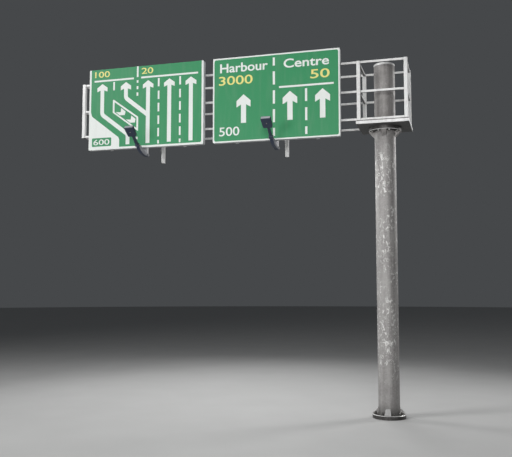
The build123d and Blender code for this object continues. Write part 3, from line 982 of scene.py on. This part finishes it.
STIFFENER_HEIGHTS = (0.22, 0.69, 1.32, 1.78)
WALL = 4 * MM
STIFFENER_WIDTH, THIN = 50 * MM, 3 * MM
BEARER_WEB, BEARER_FLANGE = 6 * MM, 7 * MM
plate_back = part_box("sign_1_plate")[1].y
rail_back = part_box("sign_1_top_rail")[1].y
for number, sign in signs.items():
    shape = bmesh.new()
    ends = (sign["left"] + WALL, sign["left"] + sign["width"] - WALL)
    middle_y = (plate_back + rail_back) / 2
    outline = i_section(STIFFENER_WIDTH, rail_back - plate_back, THIN, THIN)
    for v in STIFFENER_HEIGHTS:
        start, end = ((lambda p, x=x, v=v: Vector((x, middle_y + p[1], sign["bottom"] + v + p[0])))
                      for x in ends)
        add_prism(shape, outline, start, end)
    from_bmesh(f"sign_{number}_stiffeners", shape, ALUMINIUM_X)

    for side in ("left", "right"):
        name = f"sign_{number}_{side}_bearer"
        low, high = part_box(name)
        middle = (low + high) / 2
        section = i_section(high.x - low.x, high.y - low.y, BEARER_WEB, BEARER_FLANGE)
        outline = [(middle.x + p[0], middle.y + p[1]) for p in section]
        shape = bmesh.new()
        add_prism(shape, outline, lambda p: Vector((*p, low.z)), lambda p: Vector((*p, high.z)))
        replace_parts(from_bmesh(f"sign_{number}_{side}_i_bearer", shape, FRAME_STEEL), name)

rivet_tree, given = new_tree("rivets", {"Spacing": 0.14, "Head radius": 5 * MM, "Head height": 0.45})
path = node(rivet_tree, "GeometryNodeMeshToCurve", {"Mesh": given["Host"]})
spots = node(rivet_tree, "GeometryNodeCurveToPoints", {"Curve": path.outputs[0], "Length": given["Spacing"]},
             mode="LENGTH")
dome = node(rivet_tree, "GeometryNodeMeshUVSphere", {"Segments": 10, "Rings": 6,
                                                     "Radius": given["Head radius"]})
flat = node(rivet_tree, "ShaderNodeCombineXYZ", {"X": 1.0, "Y": given["Head height"], "Z": 1.0})
dome = node(rivet_tree, "GeometryNodeTransform", {"Geometry": dome.outputs[0], "Scale": flat.outputs[0]})
rivets = node(rivet_tree, "GeometryNodeInstanceOnPoints",
              {"Points": spots.outputs[0], "Instance": dome.outputs[0]})
end_tree(rivet_tree, rivets.outputs[0], given)

RIVET_FROM_END, RIVET_FROM_WEB = 60 * MM, 14 * MM
for number, sign in signs.items():
    rows = []
    first, last = sign["left"] + RIVET_FROM_END, sign["left"] + sign["width"] - RIVET_FROM_END
    for v in STIFFENER_HEIGHTS:
        for side in (-1, 1):
            y, z = plate_back + THIN, sign["bottom"] + v + side * RIVET_FROM_WEB
            rows.append([(first, y, z), (last, y, z)])
    grow(f"sign_{number}_rivets", rivet_tree, loops(rows, closed=False), ALUMINIUM_X, "sign_rail")
print("stiffeners at", STIFFENER_HEIGHTS, "m above each sign's bottom edge")


# %% [markdown]
# ## Fasteners
# A fastener here is a washer, a nut with a chamfered top and the end of its threaded rod. The tree puts one
# on every point of its host, along that point's direction, and turns each by its own angle, as spanners
# leave them. The rod's thread is drawn with fewer, coarser turns than it has.

# %% Fasteners
fastener_tree, given = new_tree("fasteners", {"Across flats": 46 * MM, "Nut height": 24 * MM,
                                              "Washer radius": 32 * MM, "Washer thickness": 5 * MM,
                                              "Rod radius": 15 * MM, "Rod length": 60 * MM, "Seed": 4})
corner_radius = node(fastener_tree, "ShaderNodeMath", {0: given["Across flats"], 1: 1 / sqrt(3)},
                     operation="MULTIPLY").outputs[0]


def lifted(depth, extra=None):
    """A vector that lifts a centred cylinder to stand on its foot, and by an extra height."""
    up = node(fastener_tree, "ShaderNodeMath", {0: depth, 1: 0.5, 2: extra or 0.0}, operation="MULTIPLY_ADD")
    return node(fastener_tree, "ShaderNodeCombineXYZ", {"Z": up.outputs[0]}).outputs[0]


washer = node(fastener_tree, "GeometryNodeMeshCylinder", {"Vertices": 24, "Radius": given["Washer radius"],
                                                          "Depth": given["Washer thickness"]})
washer = node(fastener_tree, "GeometryNodeTransform", {"Geometry": washer.outputs[0],
                                                       "Translation": lifted(given["Washer thickness"])})
body = node(fastener_tree, "GeometryNodeMeshCylinder", {"Vertices": 6, "Radius": corner_radius,
                                                        "Depth": given["Nut height"]})
rise = node(fastener_tree, "ShaderNodeMath", {0: given["Nut height"], 1: 0.12}, operation="MULTIPLY")
crown = node(fastener_tree, "GeometryNodeExtrudeMesh", {"Mesh": body.outputs["Mesh"],
                                                        "Selection": body.outputs["Top"],
                                                        "Offset Scale": rise.outputs[0]})
crown = node(fastener_tree, "GeometryNodeScaleElements", {"Geometry": crown.outputs["Mesh"],
                                                          "Selection": crown.outputs["Top"], "Scale": 0.86})
on_washer = lifted(given["Nut height"], given["Washer thickness"])
nut = node(fastener_tree, "GeometryNodeTransform", {"Geometry": crown.outputs[0], "Translation": on_washer})
rod_line = node(fastener_tree, "GeometryNodeCurvePrimitiveLine")
rod_end = node(fastener_tree, "ShaderNodeCombineXYZ", {"Z": given["Rod length"]})
fastener_tree.links.new(rod_end.outputs[0], rod_line.inputs["End"])
rod_line = node(fastener_tree, "GeometryNodeResampleCurve", {"Curve": rod_line.outputs[0], "Count": 28})
turn = node(fastener_tree, "GeometryNodeInputIndex")
ridge = node(fastener_tree, "ShaderNodeMath", {0: turn.outputs[0], 1: 2.0}, operation="MODULO")
ridge = node(fastener_tree, "ShaderNodeMath", {0: ridge.outputs[0], 1: -0.08, 2: 1.0},
             operation="MULTIPLY_ADD")
ring = node(fastener_tree, "GeometryNodeCurvePrimitiveCircle",
            {"Resolution": 16, "Radius": given["Rod radius"]})
rod = node(fastener_tree, "GeometryNodeCurveToMesh", {"Curve": rod_line.outputs[0],
                                                      "Profile Curve": ring.outputs[0],
                                                      "Scale": ridge.outputs[0], "Fill Caps": True})
whole = node(fastener_tree, "GeometryNodeJoinGeometry")
for part in (washer, nut, rod):
    fastener_tree.links.new(part.outputs[0], whole.inputs[0])
heading = node(fastener_tree, "GeometryNodeInputNamedAttribute", {"Name": "direction"},
               data_type="FLOAT_VECTOR")
facing = node(fastener_tree, "FunctionNodeAlignRotationToVector", {"Vector": heading.outputs[0]}, axis="Z")
spin = node(fastener_tree, "FunctionNodeRandomValue", {"Seed": given["Seed"]}, data_type="FLOAT")
spin = node(fastener_tree, "ShaderNodeMath", {0: spin.outputs[1], 1: 2 * pi}, operation="MULTIPLY")
spin = node(fastener_tree, "FunctionNodeAxisAngleToRotation", {"Axis": (0, 0, 1), "Angle": spin.outputs[0]})
turned = node(fastener_tree, "FunctionNodeRotateRotation", {0: facing.outputs[0], 1: spin.outputs[0]},
              rotation_space="LOCAL")
placed = node(fastener_tree, "GeometryNodeInstanceOnPoints",
              {"Points": given["Host"], "Instance": whole.outputs[0], "Rotation": turned.outputs[0]})
end_tree(fastener_tree, placed.outputs[0], given)

base_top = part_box("base_flange")[1].z
head_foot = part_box("head_flange")[0].z
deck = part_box("platform")[1].z
BOLT_CIRCLE = 0.295
angles = [radians(22.5 + 45 * k) for k in range(8)]
circle = [(BOLT_CIRCLE * cos(a), BOLT_CIRCLE * sin(a)) for a in angles]
# The anchor nuts take the dark steel, as painted shade between the gussets.
grow("anchor_nuts", fastener_tree, wires([(*p, base_top) for p in circle], direction=[(0, 0, 1)] * 8),
     ANCHOR_STEEL, "column_steel")
M24 = {"Across flats": 36 * MM, "Nut height": 19 * MM, "Washer radius": 22 * MM, "Washer thickness": 4 * MM,
       "Rod radius": 12 * MM}
grow("head_flange_nuts", fastener_tree, wires([(*p, head_foot) for p in circle], direction=[(0, 0, -1)] * 8),
     FASTENER, "column_steel", **M24, **{"Rod length": 34 * MM})
grow("platform_bolt_heads", fastener_tree, wires([(*p, deck) for p in circle], direction=[(0, 0, 1)] * 8),
     FASTENER, "frame_steel", **M24, **{"Rod length": 20 * MM})
print("fasteners on a", BOLT_CIRCLE, "m circle")

# %% [markdown]
# ## Weld beads
# Where two steels meet, a fillet weld fills the corner. A welder lays it in small overlapping pools, which
# leave ripples across the bead. The tree sweeps a circle along the joint and varies its size a little from
# step to step, so only the part outside the two steels shows. Small square ones close the joints of the
# lattice.

# %% Weld beads
bead_tree, given = new_tree("weld_bead", {"Radius": 7 * MM, "Step": 7 * MM, "Ripple": 0.16, "Seed": 2})
path = node(bead_tree, "GeometryNodeMeshToCurve", {"Mesh": given["Host"]})
path = node(bead_tree, "GeometryNodeResampleCurve", {"Curve": path.outputs[0], "Length": given["Step"]},
            mode="LENGTH")
shrunk = node(bead_tree, "ShaderNodeMath", {0: 1.0, 1: given["Ripple"]}, operation="SUBTRACT")
grown = node(bead_tree, "ShaderNodeMath", {0: 1.0, 1: given["Ripple"]}, operation="ADD")
pool = node(bead_tree, "FunctionNodeRandomValue", {2: shrunk.outputs[0], 3: grown.outputs[0],
                                                   "Seed": given["Seed"]}, data_type="FLOAT")
ring = node(bead_tree, "GeometryNodeCurvePrimitiveCircle", {"Resolution": 8, "Radius": given["Radius"]})
bead = node(bead_tree, "GeometryNodeCurveToMesh", {"Curve": path.outputs[0], "Profile Curve": ring.outputs[0],
                                                   "Scale": pool.outputs[1], "Fill Caps": True})
end_tree(bead_tree, bead.outputs[0], given)


def circle_at(radius, z, count=72):
    """A flat ring of points."""
    return [(radius * cos(2 * pi * i / count), radius * sin(2 * pi * i / count), z) for i in range(count)]


column_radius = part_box("column_tube")[1].x
head_of_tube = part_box("column_tube")[1].z
grow("column_welds", bead_tree, loops([circle_at(column_radius, base_top),
                                       circle_at(column_radius, head_of_tube),
                                       circle_at(column_radius, deck)]), WELD, "column_steel")

gusset_half, gusset_seam = 65 * MM, 108 * MM
seams = []
for quarter in range(4):
    turn = Matrix.Rotation(quarter * pi / 2, 3, "Z")
    for side in (-1, 1):
        foot = [(column_radius, side * gusset_half), (column_radius + gusset_seam, side * gusset_half)]
        for height in (base_top, head_of_tube):
            seams.append([tuple(turn @ Vector((*p, height))) for p in foot])
grow("gusset_welds", bead_tree, loops(seams, closed=False), WELD, "column_steel", Radius=5 * MM, Step=6 * MM)

low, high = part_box("post_cage_left_front")
post_size, post_radius = high.x - low.x, 8 * MM
feet = []
for frame_name in ("cage_left", "cage_right"):
    for side in ("front", "back"):
        low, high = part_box(f"post_{frame_name}_{side}")
        middle = (low + high) / 2
        outline = rectangle(post_size, post_size, post_radius, 3, centre=(middle.x, middle.y))
        feet.append([(p.x, p.y, deck) for p in outline])
grow("post_foot_welds", bead_tree, loops(feet), WELD, "frame_steel", Radius=4 * MM, Step=5 * MM)
print("column, gusset and post welds laid")

# %% [markdown]
# ### Welds of the lattice joints
# A chord or a cross bar meets a post with its whole 50 mm square end. The host has one point for each of
# these joints, with the bar's direction, and the tree puts a square bead there.

# %% Lattice welds
joint_tree, given = new_tree("square_weld", {"Side": 51 * MM, "Radius": 3.2 * MM, "Step": 5 * MM, "Seed": 7})
square = node(joint_tree, "GeometryNodeCurvePrimitiveQuadrilateral", {"Width": given["Side"],
                                                                     "Height": given["Side"]})
square = node(joint_tree, "GeometryNodeFilletCurve",
              {"Curve": square.outputs[0], "Radius": 6 * MM, "Count": 3}, mode="POLY")
square = node(joint_tree, "GeometryNodeResampleCurve", {"Curve": square.outputs[0], "Length": given["Step"]},
              mode="LENGTH")
pool = node(joint_tree, "FunctionNodeRandomValue", {2: 0.8, 3: 1.2, "Seed": given["Seed"]}, data_type="FLOAT")
ring = node(joint_tree, "GeometryNodeCurvePrimitiveCircle", {"Resolution": 6, "Radius": given["Radius"]})
bead = node(joint_tree, "GeometryNodeCurveToMesh", {"Curve": square.outputs[0],
                                                    "Profile Curve": ring.outputs[0],
                                                    "Scale": pool.outputs[1]})
heading = node(joint_tree, "GeometryNodeInputNamedAttribute", {"Name": "direction"}, data_type="FLOAT_VECTOR")
facing = node(joint_tree, "FunctionNodeAlignRotationToVector", {"Vector": heading.outputs[0]}, axis="Z")
joints = node(joint_tree, "GeometryNodeInstanceOnPoints",
              {"Points": given["Host"], "Instance": bead.outputs[0], "Rotation": facing.outputs[0]})
end_tree(joint_tree, joints.outputs[0], given)

FRAMES = ("end", "left", "right", "cage_left", "cage_right")
post_x = {name: (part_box(f"post_{name}_front")[0].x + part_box(f"post_{name}_front")[1].x) / 2
          for name in FRAMES}
bar_rows = {"front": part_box("post_left_front"), "back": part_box("post_left_back")}
row_y = {side: (box[0].y + box[1].y) / 2 for side, box in bar_rows.items()}
levels = []
for level in ("bottom", "middle", "top"):
    low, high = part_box(f"chord_front_{level}")
    levels.append((low.z + high.z) / 2)
half_post = post_size / 2
spots, headings = [], []
for z in levels:
    for name, x in post_x.items():
        for side, y in row_y.items():
            for step in (-1, 1):
                if (name, step) not in (("end", -1), ("cage_right", 1)):
                    spots.append((x + step * half_post, y, z))
                    headings.append((1, 0, 0))
            spots.append((x, y + (half_post if side == "front" else -half_post), z))
            headings.append((0, 1, 0))
grow("lattice_welds", joint_tree, wires(spots, direction=headings), WELD, "frame_steel")
print("lattice joints:", len(spots))

# %% [markdown]
# ## Clamps between the signs and the lattice
# Each bearer is clamped to every chord: a small plate sits behind the chord, and two bolts, one above and
# one below the chord, pull it towards the bearer. The plates and bolts are placed at the crossings of
# bearers and chords.

# %% Clamps
plate_tree, given = new_tree("clamp_plates", {"Width": 70 * MM, "Height": 118 * MM, "Thickness": 8 * MM})
size = node(plate_tree, "ShaderNodeCombineXYZ", {"X": given["Width"], "Y": given["Thickness"],
                                                 "Z": given["Height"]})
box = node(plate_tree, "GeometryNodeMeshCube", {"Size": size.outputs[0]})
plates = node(plate_tree, "GeometryNodeInstanceOnPoints",
              {"Points": given["Host"], "Instance": box.outputs[0]})
end_tree(plate_tree, plates.outputs[0], given)

chord_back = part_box("chord_front_top")[1].y
CLAMP = 8 * MM
crossings = []
for number in signs:
    for side in ("left", "right"):
        low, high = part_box(f"sign_{number}_{side}_bearer")
        crossings += [((low.x + high.x) / 2, z) for z in levels]
grow("clamp_plates", plate_tree, wires([(x, chord_back + CLAMP / 2, z) for x, z in crossings]),
     FRAME_STEEL, "frame_steel")
BOLT_ACROSS, BOLT_UP = 22 * MM, 42 * MM
bolts = [(x + BOLT_ACROSS, chord_back + CLAMP, z + side * BOLT_UP) for x, z in crossings for side in (-1, 1)]
grow("clamp_nuts", fastener_tree, wires(bolts, direction=[(0, 1, 0)] * len(bolts)), FASTENER, "frame_steel",
     **{"Across flats": 19 * MM, "Nut height": 10 * MM, "Washer radius": 12 * MM,
        "Washer thickness": 2.5 * MM, "Rod radius": 6 * MM, "Rod length": 24 * MM})

rod_tree, given = new_tree("rod_along_a_path", {"Radius": 6 * MM, "Step": 12 * MM})
path = node(rod_tree, "GeometryNodeMeshToCurve", {"Mesh": given["Host"]})
path = node(rod_tree, "GeometryNodeResampleCurve", {"Curve": path.outputs[0], "Length": given["Step"]},
            mode="LENGTH")
ring = node(rod_tree, "GeometryNodeCurvePrimitiveCircle", {"Resolution": 12, "Radius": given["Radius"]})
rod = node(rod_tree, "GeometryNodeCurveToMesh", {"Curve": path.outputs[0], "Profile Curve": ring.outputs[0],
                                                 "Fill Caps": True})
end_tree(rod_tree, rod.outputs[0], given)
bearer_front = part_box("sign_1_left_bearer")[1].y - BEARER_FLANGE
grow("clamp_bolts", rod_tree, loops([[(x, bearer_front, z), (x, y, z)] for x, y, z in bolts], closed=False),
     FASTENER, "frame_steel")
print("clamps:", len(crossings))


# %% [markdown]
# ## Ends of the posts
# A square tube is closed at its top by a small welded plate, which keeps water out. The feet below the
# lattice need none: the front ones stand in the lamps' shoes.

# %% Post caps
caps = []
for name in FRAMES:
    for side in ("front", "back"):
        low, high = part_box(f"post_{name}_{side}")
        caps.append(((low.x + high.x) / 2, (low.y + high.y) / 2, high.z))
CAP, CAP_INSET = 3 * MM, 3 * MM
cap_size = post_size - 2 * CAP_INSET
grow("post_caps", plate_tree, wires([(x, y, z + CAP / 2) for x, y, z in caps]), FRAME_STEEL, "frame_steel",
     Width=cap_size, Height=CAP, Thickness=cap_size)
print("caps:", len(caps))


# %% [markdown]
# ## Lamps
# A lamp hangs on a steel arm in front of the sign and shines up and back onto it. Its casing is a die-cast
# tray. The CAD head is a solid, so the tray is made from a copy of it: its big face towards the sign is
# inset and pushed in. Inside sits a bright reflector with rows of light-emitting diodes on its floor. The
# clear cover is held by a black seal and a bezel with screws. Places inside a lamp are measured along its
# length and out of its open face.

# %% Lamp casings
TILT = radians(36)
along = Vector((0, -cos(TILT), sin(TILT)))
out = Vector((0, sin(TILT), cos(TILT)))
sideways = Vector((1, 0, 0))


def spread(node_name, axis):
    """The lowest and highest place of a CAD node along an axis."""
    places = [v.co.dot(axis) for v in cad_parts[node_name].data.vertices]
    return min(places), max(places)


lamps = {}
for number in ("1", "2"):
    head = f"lamp_{number}_head"
    (x0, x1), (a0, a1), (o0, o1) = (spread(head, axis) for axis in (sideways, along, out))
    lamps[number] = {"x": (x0, x1), "along": (a0, a1), "out": (o0, o1)}


def in_lamp(x, a, o):
    """A point from its three places along the lamp's axes."""
    return sideways * x + along * a + out * o


print({n: {k: [round(v, 3) for v in p] for k, p in lamp.items()} for n, lamp in lamps.items()})

FLOOR_DEPTH, RIM = 52 * MM, 22 * MM
REFLECTOR_DEPTH, REFLECTOR_SHEET = 40 * MM, 4 * MM


def tray(number):
    """The lamp's casing: a copy of the CAD head, rounded outside and hollow inside."""
    name = f"lamp_{number}_head"
    shape = bmesh.new()
    shape.from_mesh(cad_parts[name].data)
    bmesh.ops.remove_doubles(shape, verts=shape.verts, dist=0.02 * MM)
    bmesh.ops.dissolve_limit(shape, angle_limit=radians(1), verts=shape.verts, edges=shape.edges)
    mouth = max(shape.faces, key=lambda f: f.calc_center_median().dot(out) + (f.normal.dot(out) > 0.99))
    bmesh.ops.inset_region(shape, faces=[mouth], thickness=RIM)
    pushed = bmesh.ops.extrude_discrete_faces(shape, faces=[mouth])["faces"][0]
    for v in pushed.verts:
        v.co -= out * FLOOR_DEPTH
    outside = [e for e in shape.edges if len(e.link_faces) == 2 and e.calc_face_angle(0) > radians(25)
               and min((v.co.dot(out) for v in e.verts)) < lamps[number]["out"][1] - 1 * MM
               and all(pushed not in v.link_faces for v in e.verts)]
    bmesh.ops.bevel(shape, geom=outside, offset=6 * MM, segments=3, affect="EDGES", clamp_overlap=True)
    piece = from_bmesh(f"lamp_{number}_casing", shape, LAMP_PAINT, smooth_angle=40)
    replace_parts(piece, name)
    return piece


def lamp_outline(number, inset):
    """The lamp's outline seen from its open face, moved inwards: pairs of sideways and lengthways places."""
    lamp = lamps[number]
    vertices = [v.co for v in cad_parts[f"lamp_{number}_head"].data.vertices]
    corners = []
    for a, end in ((lamp["along"][0], 0), (lamp["along"][1], 1)):
        wide = [v.x for v in vertices if abs(v.dot(along) - a) < 1 * MM]
        a += inset if end == 0 else -inset
        pair = [(min(wide) + inset, a), (max(wide) - inset, a)]
        corners += pair if end == 0 else pair[::-1]
    return corners


def lamp_ring(name, number, insets, heights, material):
    """A frame that follows the lamp's outline between two insets and two heights."""
    shape = bmesh.new()
    outer, inner = (lamp_outline(number, inset) for inset in insets)
    low, high = heights
    rings = [[shape.verts.new(in_lamp(x, a, o)) for x, a in outline]
             for outline, o in ((outer, low), (outer, high), (inner, high), (inner, low))]
    for i in range(4):
        j = (i + 1) % 4
        for k in range(4):
            near, far = rings[k], rings[(k + 1) % 4]
            shape.faces.new((near[i], near[j], far[j], far[i]))
    edges = [e for e in shape.edges if e.calc_face_angle(0) > radians(25)]
    bmesh.ops.bevel(shape, geom=edges, offset=0.6 * MM, segments=1, affect="EDGES", clamp_overlap=True)
    return from_bmesh(name, shape, material)


SIDE_SCREW = 13.5 * MM
for number, lamp in lamps.items():
    tray(number)
    top = lamp["out"][1]
    glass_top = spread(f"lamp_{number}_glass", out)[1]
    lamp_ring(f"lamp_{number}_bezel", number, (3 * MM, 13.5 * MM), (top, glass_top + 2.5 * MM), BRACKET_PAINT)
    lamp_ring(f"lamp_{number}_seal", number, (13.6 * MM, 21 * MM), (glass_top, glass_top + 1.5 * MM), RUBBER)

    cup = bmesh.new()
    mouth = [cup.verts.new(in_lamp(x, a, top - 3 * MM)) for x, a in lamp_outline(number, RIM + 1 * MM)]
    floor_ring = [cup.verts.new(in_lamp(x, a, top - REFLECTOR_DEPTH)) for x,
                  a in lamp_outline(number, RIM + 22 * MM)]
    under = [cup.verts.new(in_lamp(x, a, top - REFLECTOR_DEPTH - REFLECTOR_SHEET))
             for x, a in lamp_outline(number, RIM + 19 * MM)]
    lip = [cup.verts.new(in_lamp(x, a, top - 7 * MM)) for x, a in lamp_outline(number, RIM + 1 * MM)]
    for i in range(4):
        j = (i + 1) % 4
        for near, far in ((mouth, floor_ring), (under, lip), (lip, mouth)):
            cup.faces.new((near[i], near[j], far[j], far[i]))
    cup.faces.new(floor_ring)
    cup.faces.new(under[::-1])
    from_bmesh(f"lamp_{number}_reflector", cup, REFLECTOR)

    x_mid = sum(lamp["x"]) / 2
    a0, a1 = lamp["along"]
    o0, o1 = lamp["out"]
    back_plate = bmesh.new()
    outline = rectangle(lamp["x"][1] - lamp["x"][0] - 22 * MM, o1 - o0 - 16 * MM, 8 * MM, 4,
                        centre=(x_mid, (o0 + o1) / 2))
    add_prism(back_plate, outline, lambda p: in_lamp(p[0], a1, p[1]),
              lambda p: in_lamp(p[0], a1 + 3 * MM, p[1]))
    from_bmesh(f"lamp_{number}_end_plate", back_plate, BRACKET_PAINT)

    screws = [in_lamp(x, a, glass_top + 2.5 * MM) for x, a in lamp_outline(number, 8.5 * MM)]
    sides = (lamp["x"][0] + SIDE_SCREW, lamp["x"][1] - SIDE_SCREW)
    screws += [in_lamp(x, (a0 + a1) / 2, glass_top + 2.5 * MM) for x in sides]
    grow(f"lamp_{number}_bezel_screws", fastener_tree, wires(screws, direction=[out] * len(screws)), FASTENER,
         "lamp_casing", **{"Across flats": 6 * MM, "Nut height": 2 * MM, "Washer radius": 4.5 * MM,
                           "Washer thickness": 0.8 * MM, "Rod radius": 1.5 * MM, "Rod length": 2.6 * MM})
    boss = in_lamp(x_mid, (a0 + a1) / 2, o0)
    grow(f"lamp_{number}_cable_gland", fastener_tree, wires([boss], direction=[-out]), FASTENER,
         "lamp_casing", **{"Across flats": 20 * MM, "Nut height": 7 * MM, "Washer radius": 12 * MM,
                           "Washer thickness": 2 * MM, "Rod radius": 5 * MM, "Rod length": 9.5 * MM})
print("lamp casings hollowed to", FLOOR_DEPTH, "m")

# %% [markdown]
# ### Rows of diodes
# Each diode is a small clear dome on a square base, and they stand in straight rows. The tree makes one,
# and puts it on every point of a grid that lies on the reflector's floor.

# %% Diodes
led_tree, given = new_tree("diode_rows", {"Base": 11 * MM, "Dome": 4.5 * MM})
size = node(led_tree, "ShaderNodeCombineXYZ", {"X": given["Base"], "Y": given["Base"], "Z": 3 * MM})
base = node(led_tree, "GeometryNodeMeshCube", {"Size": size.outputs[0]})
dome = node(led_tree, "GeometryNodeMeshUVSphere", {"Segments": 12, "Rings": 8, "Radius": given["Dome"]})
diode = node(led_tree, "GeometryNodeJoinGeometry")
for part in (base, dome):
    led_tree.links.new(part.outputs[0], diode.inputs[0])
heading = node(led_tree, "GeometryNodeInputNamedAttribute", {"Name": "direction"}, data_type="FLOAT_VECTOR")
facing = node(led_tree, "FunctionNodeAlignRotationToVector", {"Vector": heading.outputs[0]}, axis="Z")
facing = node(led_tree, "FunctionNodeAlignRotationToVector",
              {"Rotation": facing.outputs[0], "Vector": (1, 0, 0)}, axis="X", pivot_axis="Z")
diodes = node(led_tree, "GeometryNodeInstanceOnPoints",
              {"Points": given["Host"], "Instance": diode.outputs[0], "Rotation": facing.outputs[0]})
end_tree(led_tree, diodes.outputs[0], given)

# Diodes: small yellow squares under the glass.
DIODE = powder_coat("yellow_phosphor_diode", "#E8D468", "#F2E48C", roughness=0.25, speck=1 * MM)
PITCH = 28 * MM
for number, lamp in lamps.items():
    x_mid, a_mid = sum(lamp["x"]) / 2, sum(lamp["along"]) / 2
    board = lamp["out"][1] - REFLECTOR_DEPTH + 1.5 * MM
    grid = [in_lamp(x_mid + (i - 1.5) * PITCH, a_mid + (j - 2.5) * PITCH, board) for i in range(4)
            for j in range(6)]
    grow(f"lamp_{number}_diodes", led_tree, wires(grid, direction=[out] * len(grid)), DIODE, "lamp_casing")
print("diodes a lamp:", len(grid))

# %% [markdown]
# ### Knuckles and bracket bolts
# Each lamp arm turns on a knuckle at the tip of its bracket, so that the lamp can be aimed. The knuckle is
# a round boss with a bolt through it. The bracket's shoe slides over the hanging post's foot and is held
# with four bolts.

# %% Knuckles and shoe bolts
KNUCKLE_RADIUS, KNUCKLE_WIDTH, KNUCKLE_SIDES = 41 * MM, 86 * MM, 36
SHOE_MIDDLE, SHOE_STEP = 29 * MM, 30 * MM
knuckle_bolt = {"Across flats": 24 * MM, "Nut height": 10 * MM, "Washer radius": 16 * MM,
                "Washer thickness": 3 * MM, "Rod radius": 8 * MM, "Rod length": 17 * MM}
shoe_bolt = {"Across flats": 19 * MM, "Nut height": 8 * MM, "Washer radius": 12 * MM,
             "Washer thickness": 2 * MM, "Rod radius": 6 * MM, "Rod length": 13 * MM}
for number in ("1", "2"):
    arm = f"lamp_{number}_arm"
    (x0, x1), (a0, a1), (o0, o1) = (spread(arm, axis) for axis in (sideways, along, out))
    x_mid, a_mid, o_mid = (x0 + x1) / 2, a0 + 2 * MM, (o0 + o1) / 2
    shape = bmesh.new()
    turns = [2 * pi * i / KNUCKLE_SIDES for i in range(KNUCKLE_SIDES)]
    outline = [(a_mid + KNUCKLE_RADIUS * cos(t), o_mid + KNUCKLE_RADIUS * sin(t)) for t in turns]
    half = KNUCKLE_WIDTH / 2
    add_prism(shape, outline, lambda p: in_lamp(x_mid - half, *p), lambda p: in_lamp(x_mid + half, *p))
    rims = [e for e in shape.edges if e.calc_face_angle(0) > radians(45)]
    bmesh.ops.bevel(shape, geom=rims, offset=4 * MM, segments=3, affect="EDGES")
    from_bmesh(f"lamp_{number}_knuckle", shape, LAMP_PAINT, smooth_angle=35)
    spots = [in_lamp(x_mid + side * half, a_mid, o_mid) for side in (-1, 1)]
    grow(f"lamp_{number}_knuckle_bolt", fastener_tree, wires(spots, direction=[(-1, 0, 0), (1, 0, 0)]),
         FASTENER, "lamp_casing", **knuckle_bolt)

    low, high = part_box(f"lamp_{number}_bracket")
    post_y, shoe_z = row_y["front"], low.z + SHOE_MIDDLE
    spots = [(x, post_y + step, shoe_z) for x in (low.x, high.x) for step in (-SHOE_STEP, SHOE_STEP)]
    outwards = [(-1, 0, 0)] * 2 + [(1, 0, 0)] * 2
    grow(f"lamp_{number}_shoe_bolts", fastener_tree, wires(spots, direction=outwards), FASTENER,
         "frame_steel", **shoe_bolt)
print("knuckles of", KNUCKLE_RADIUS * 2, "m")

# %% Size
print("pieces:", len(made_pieces))
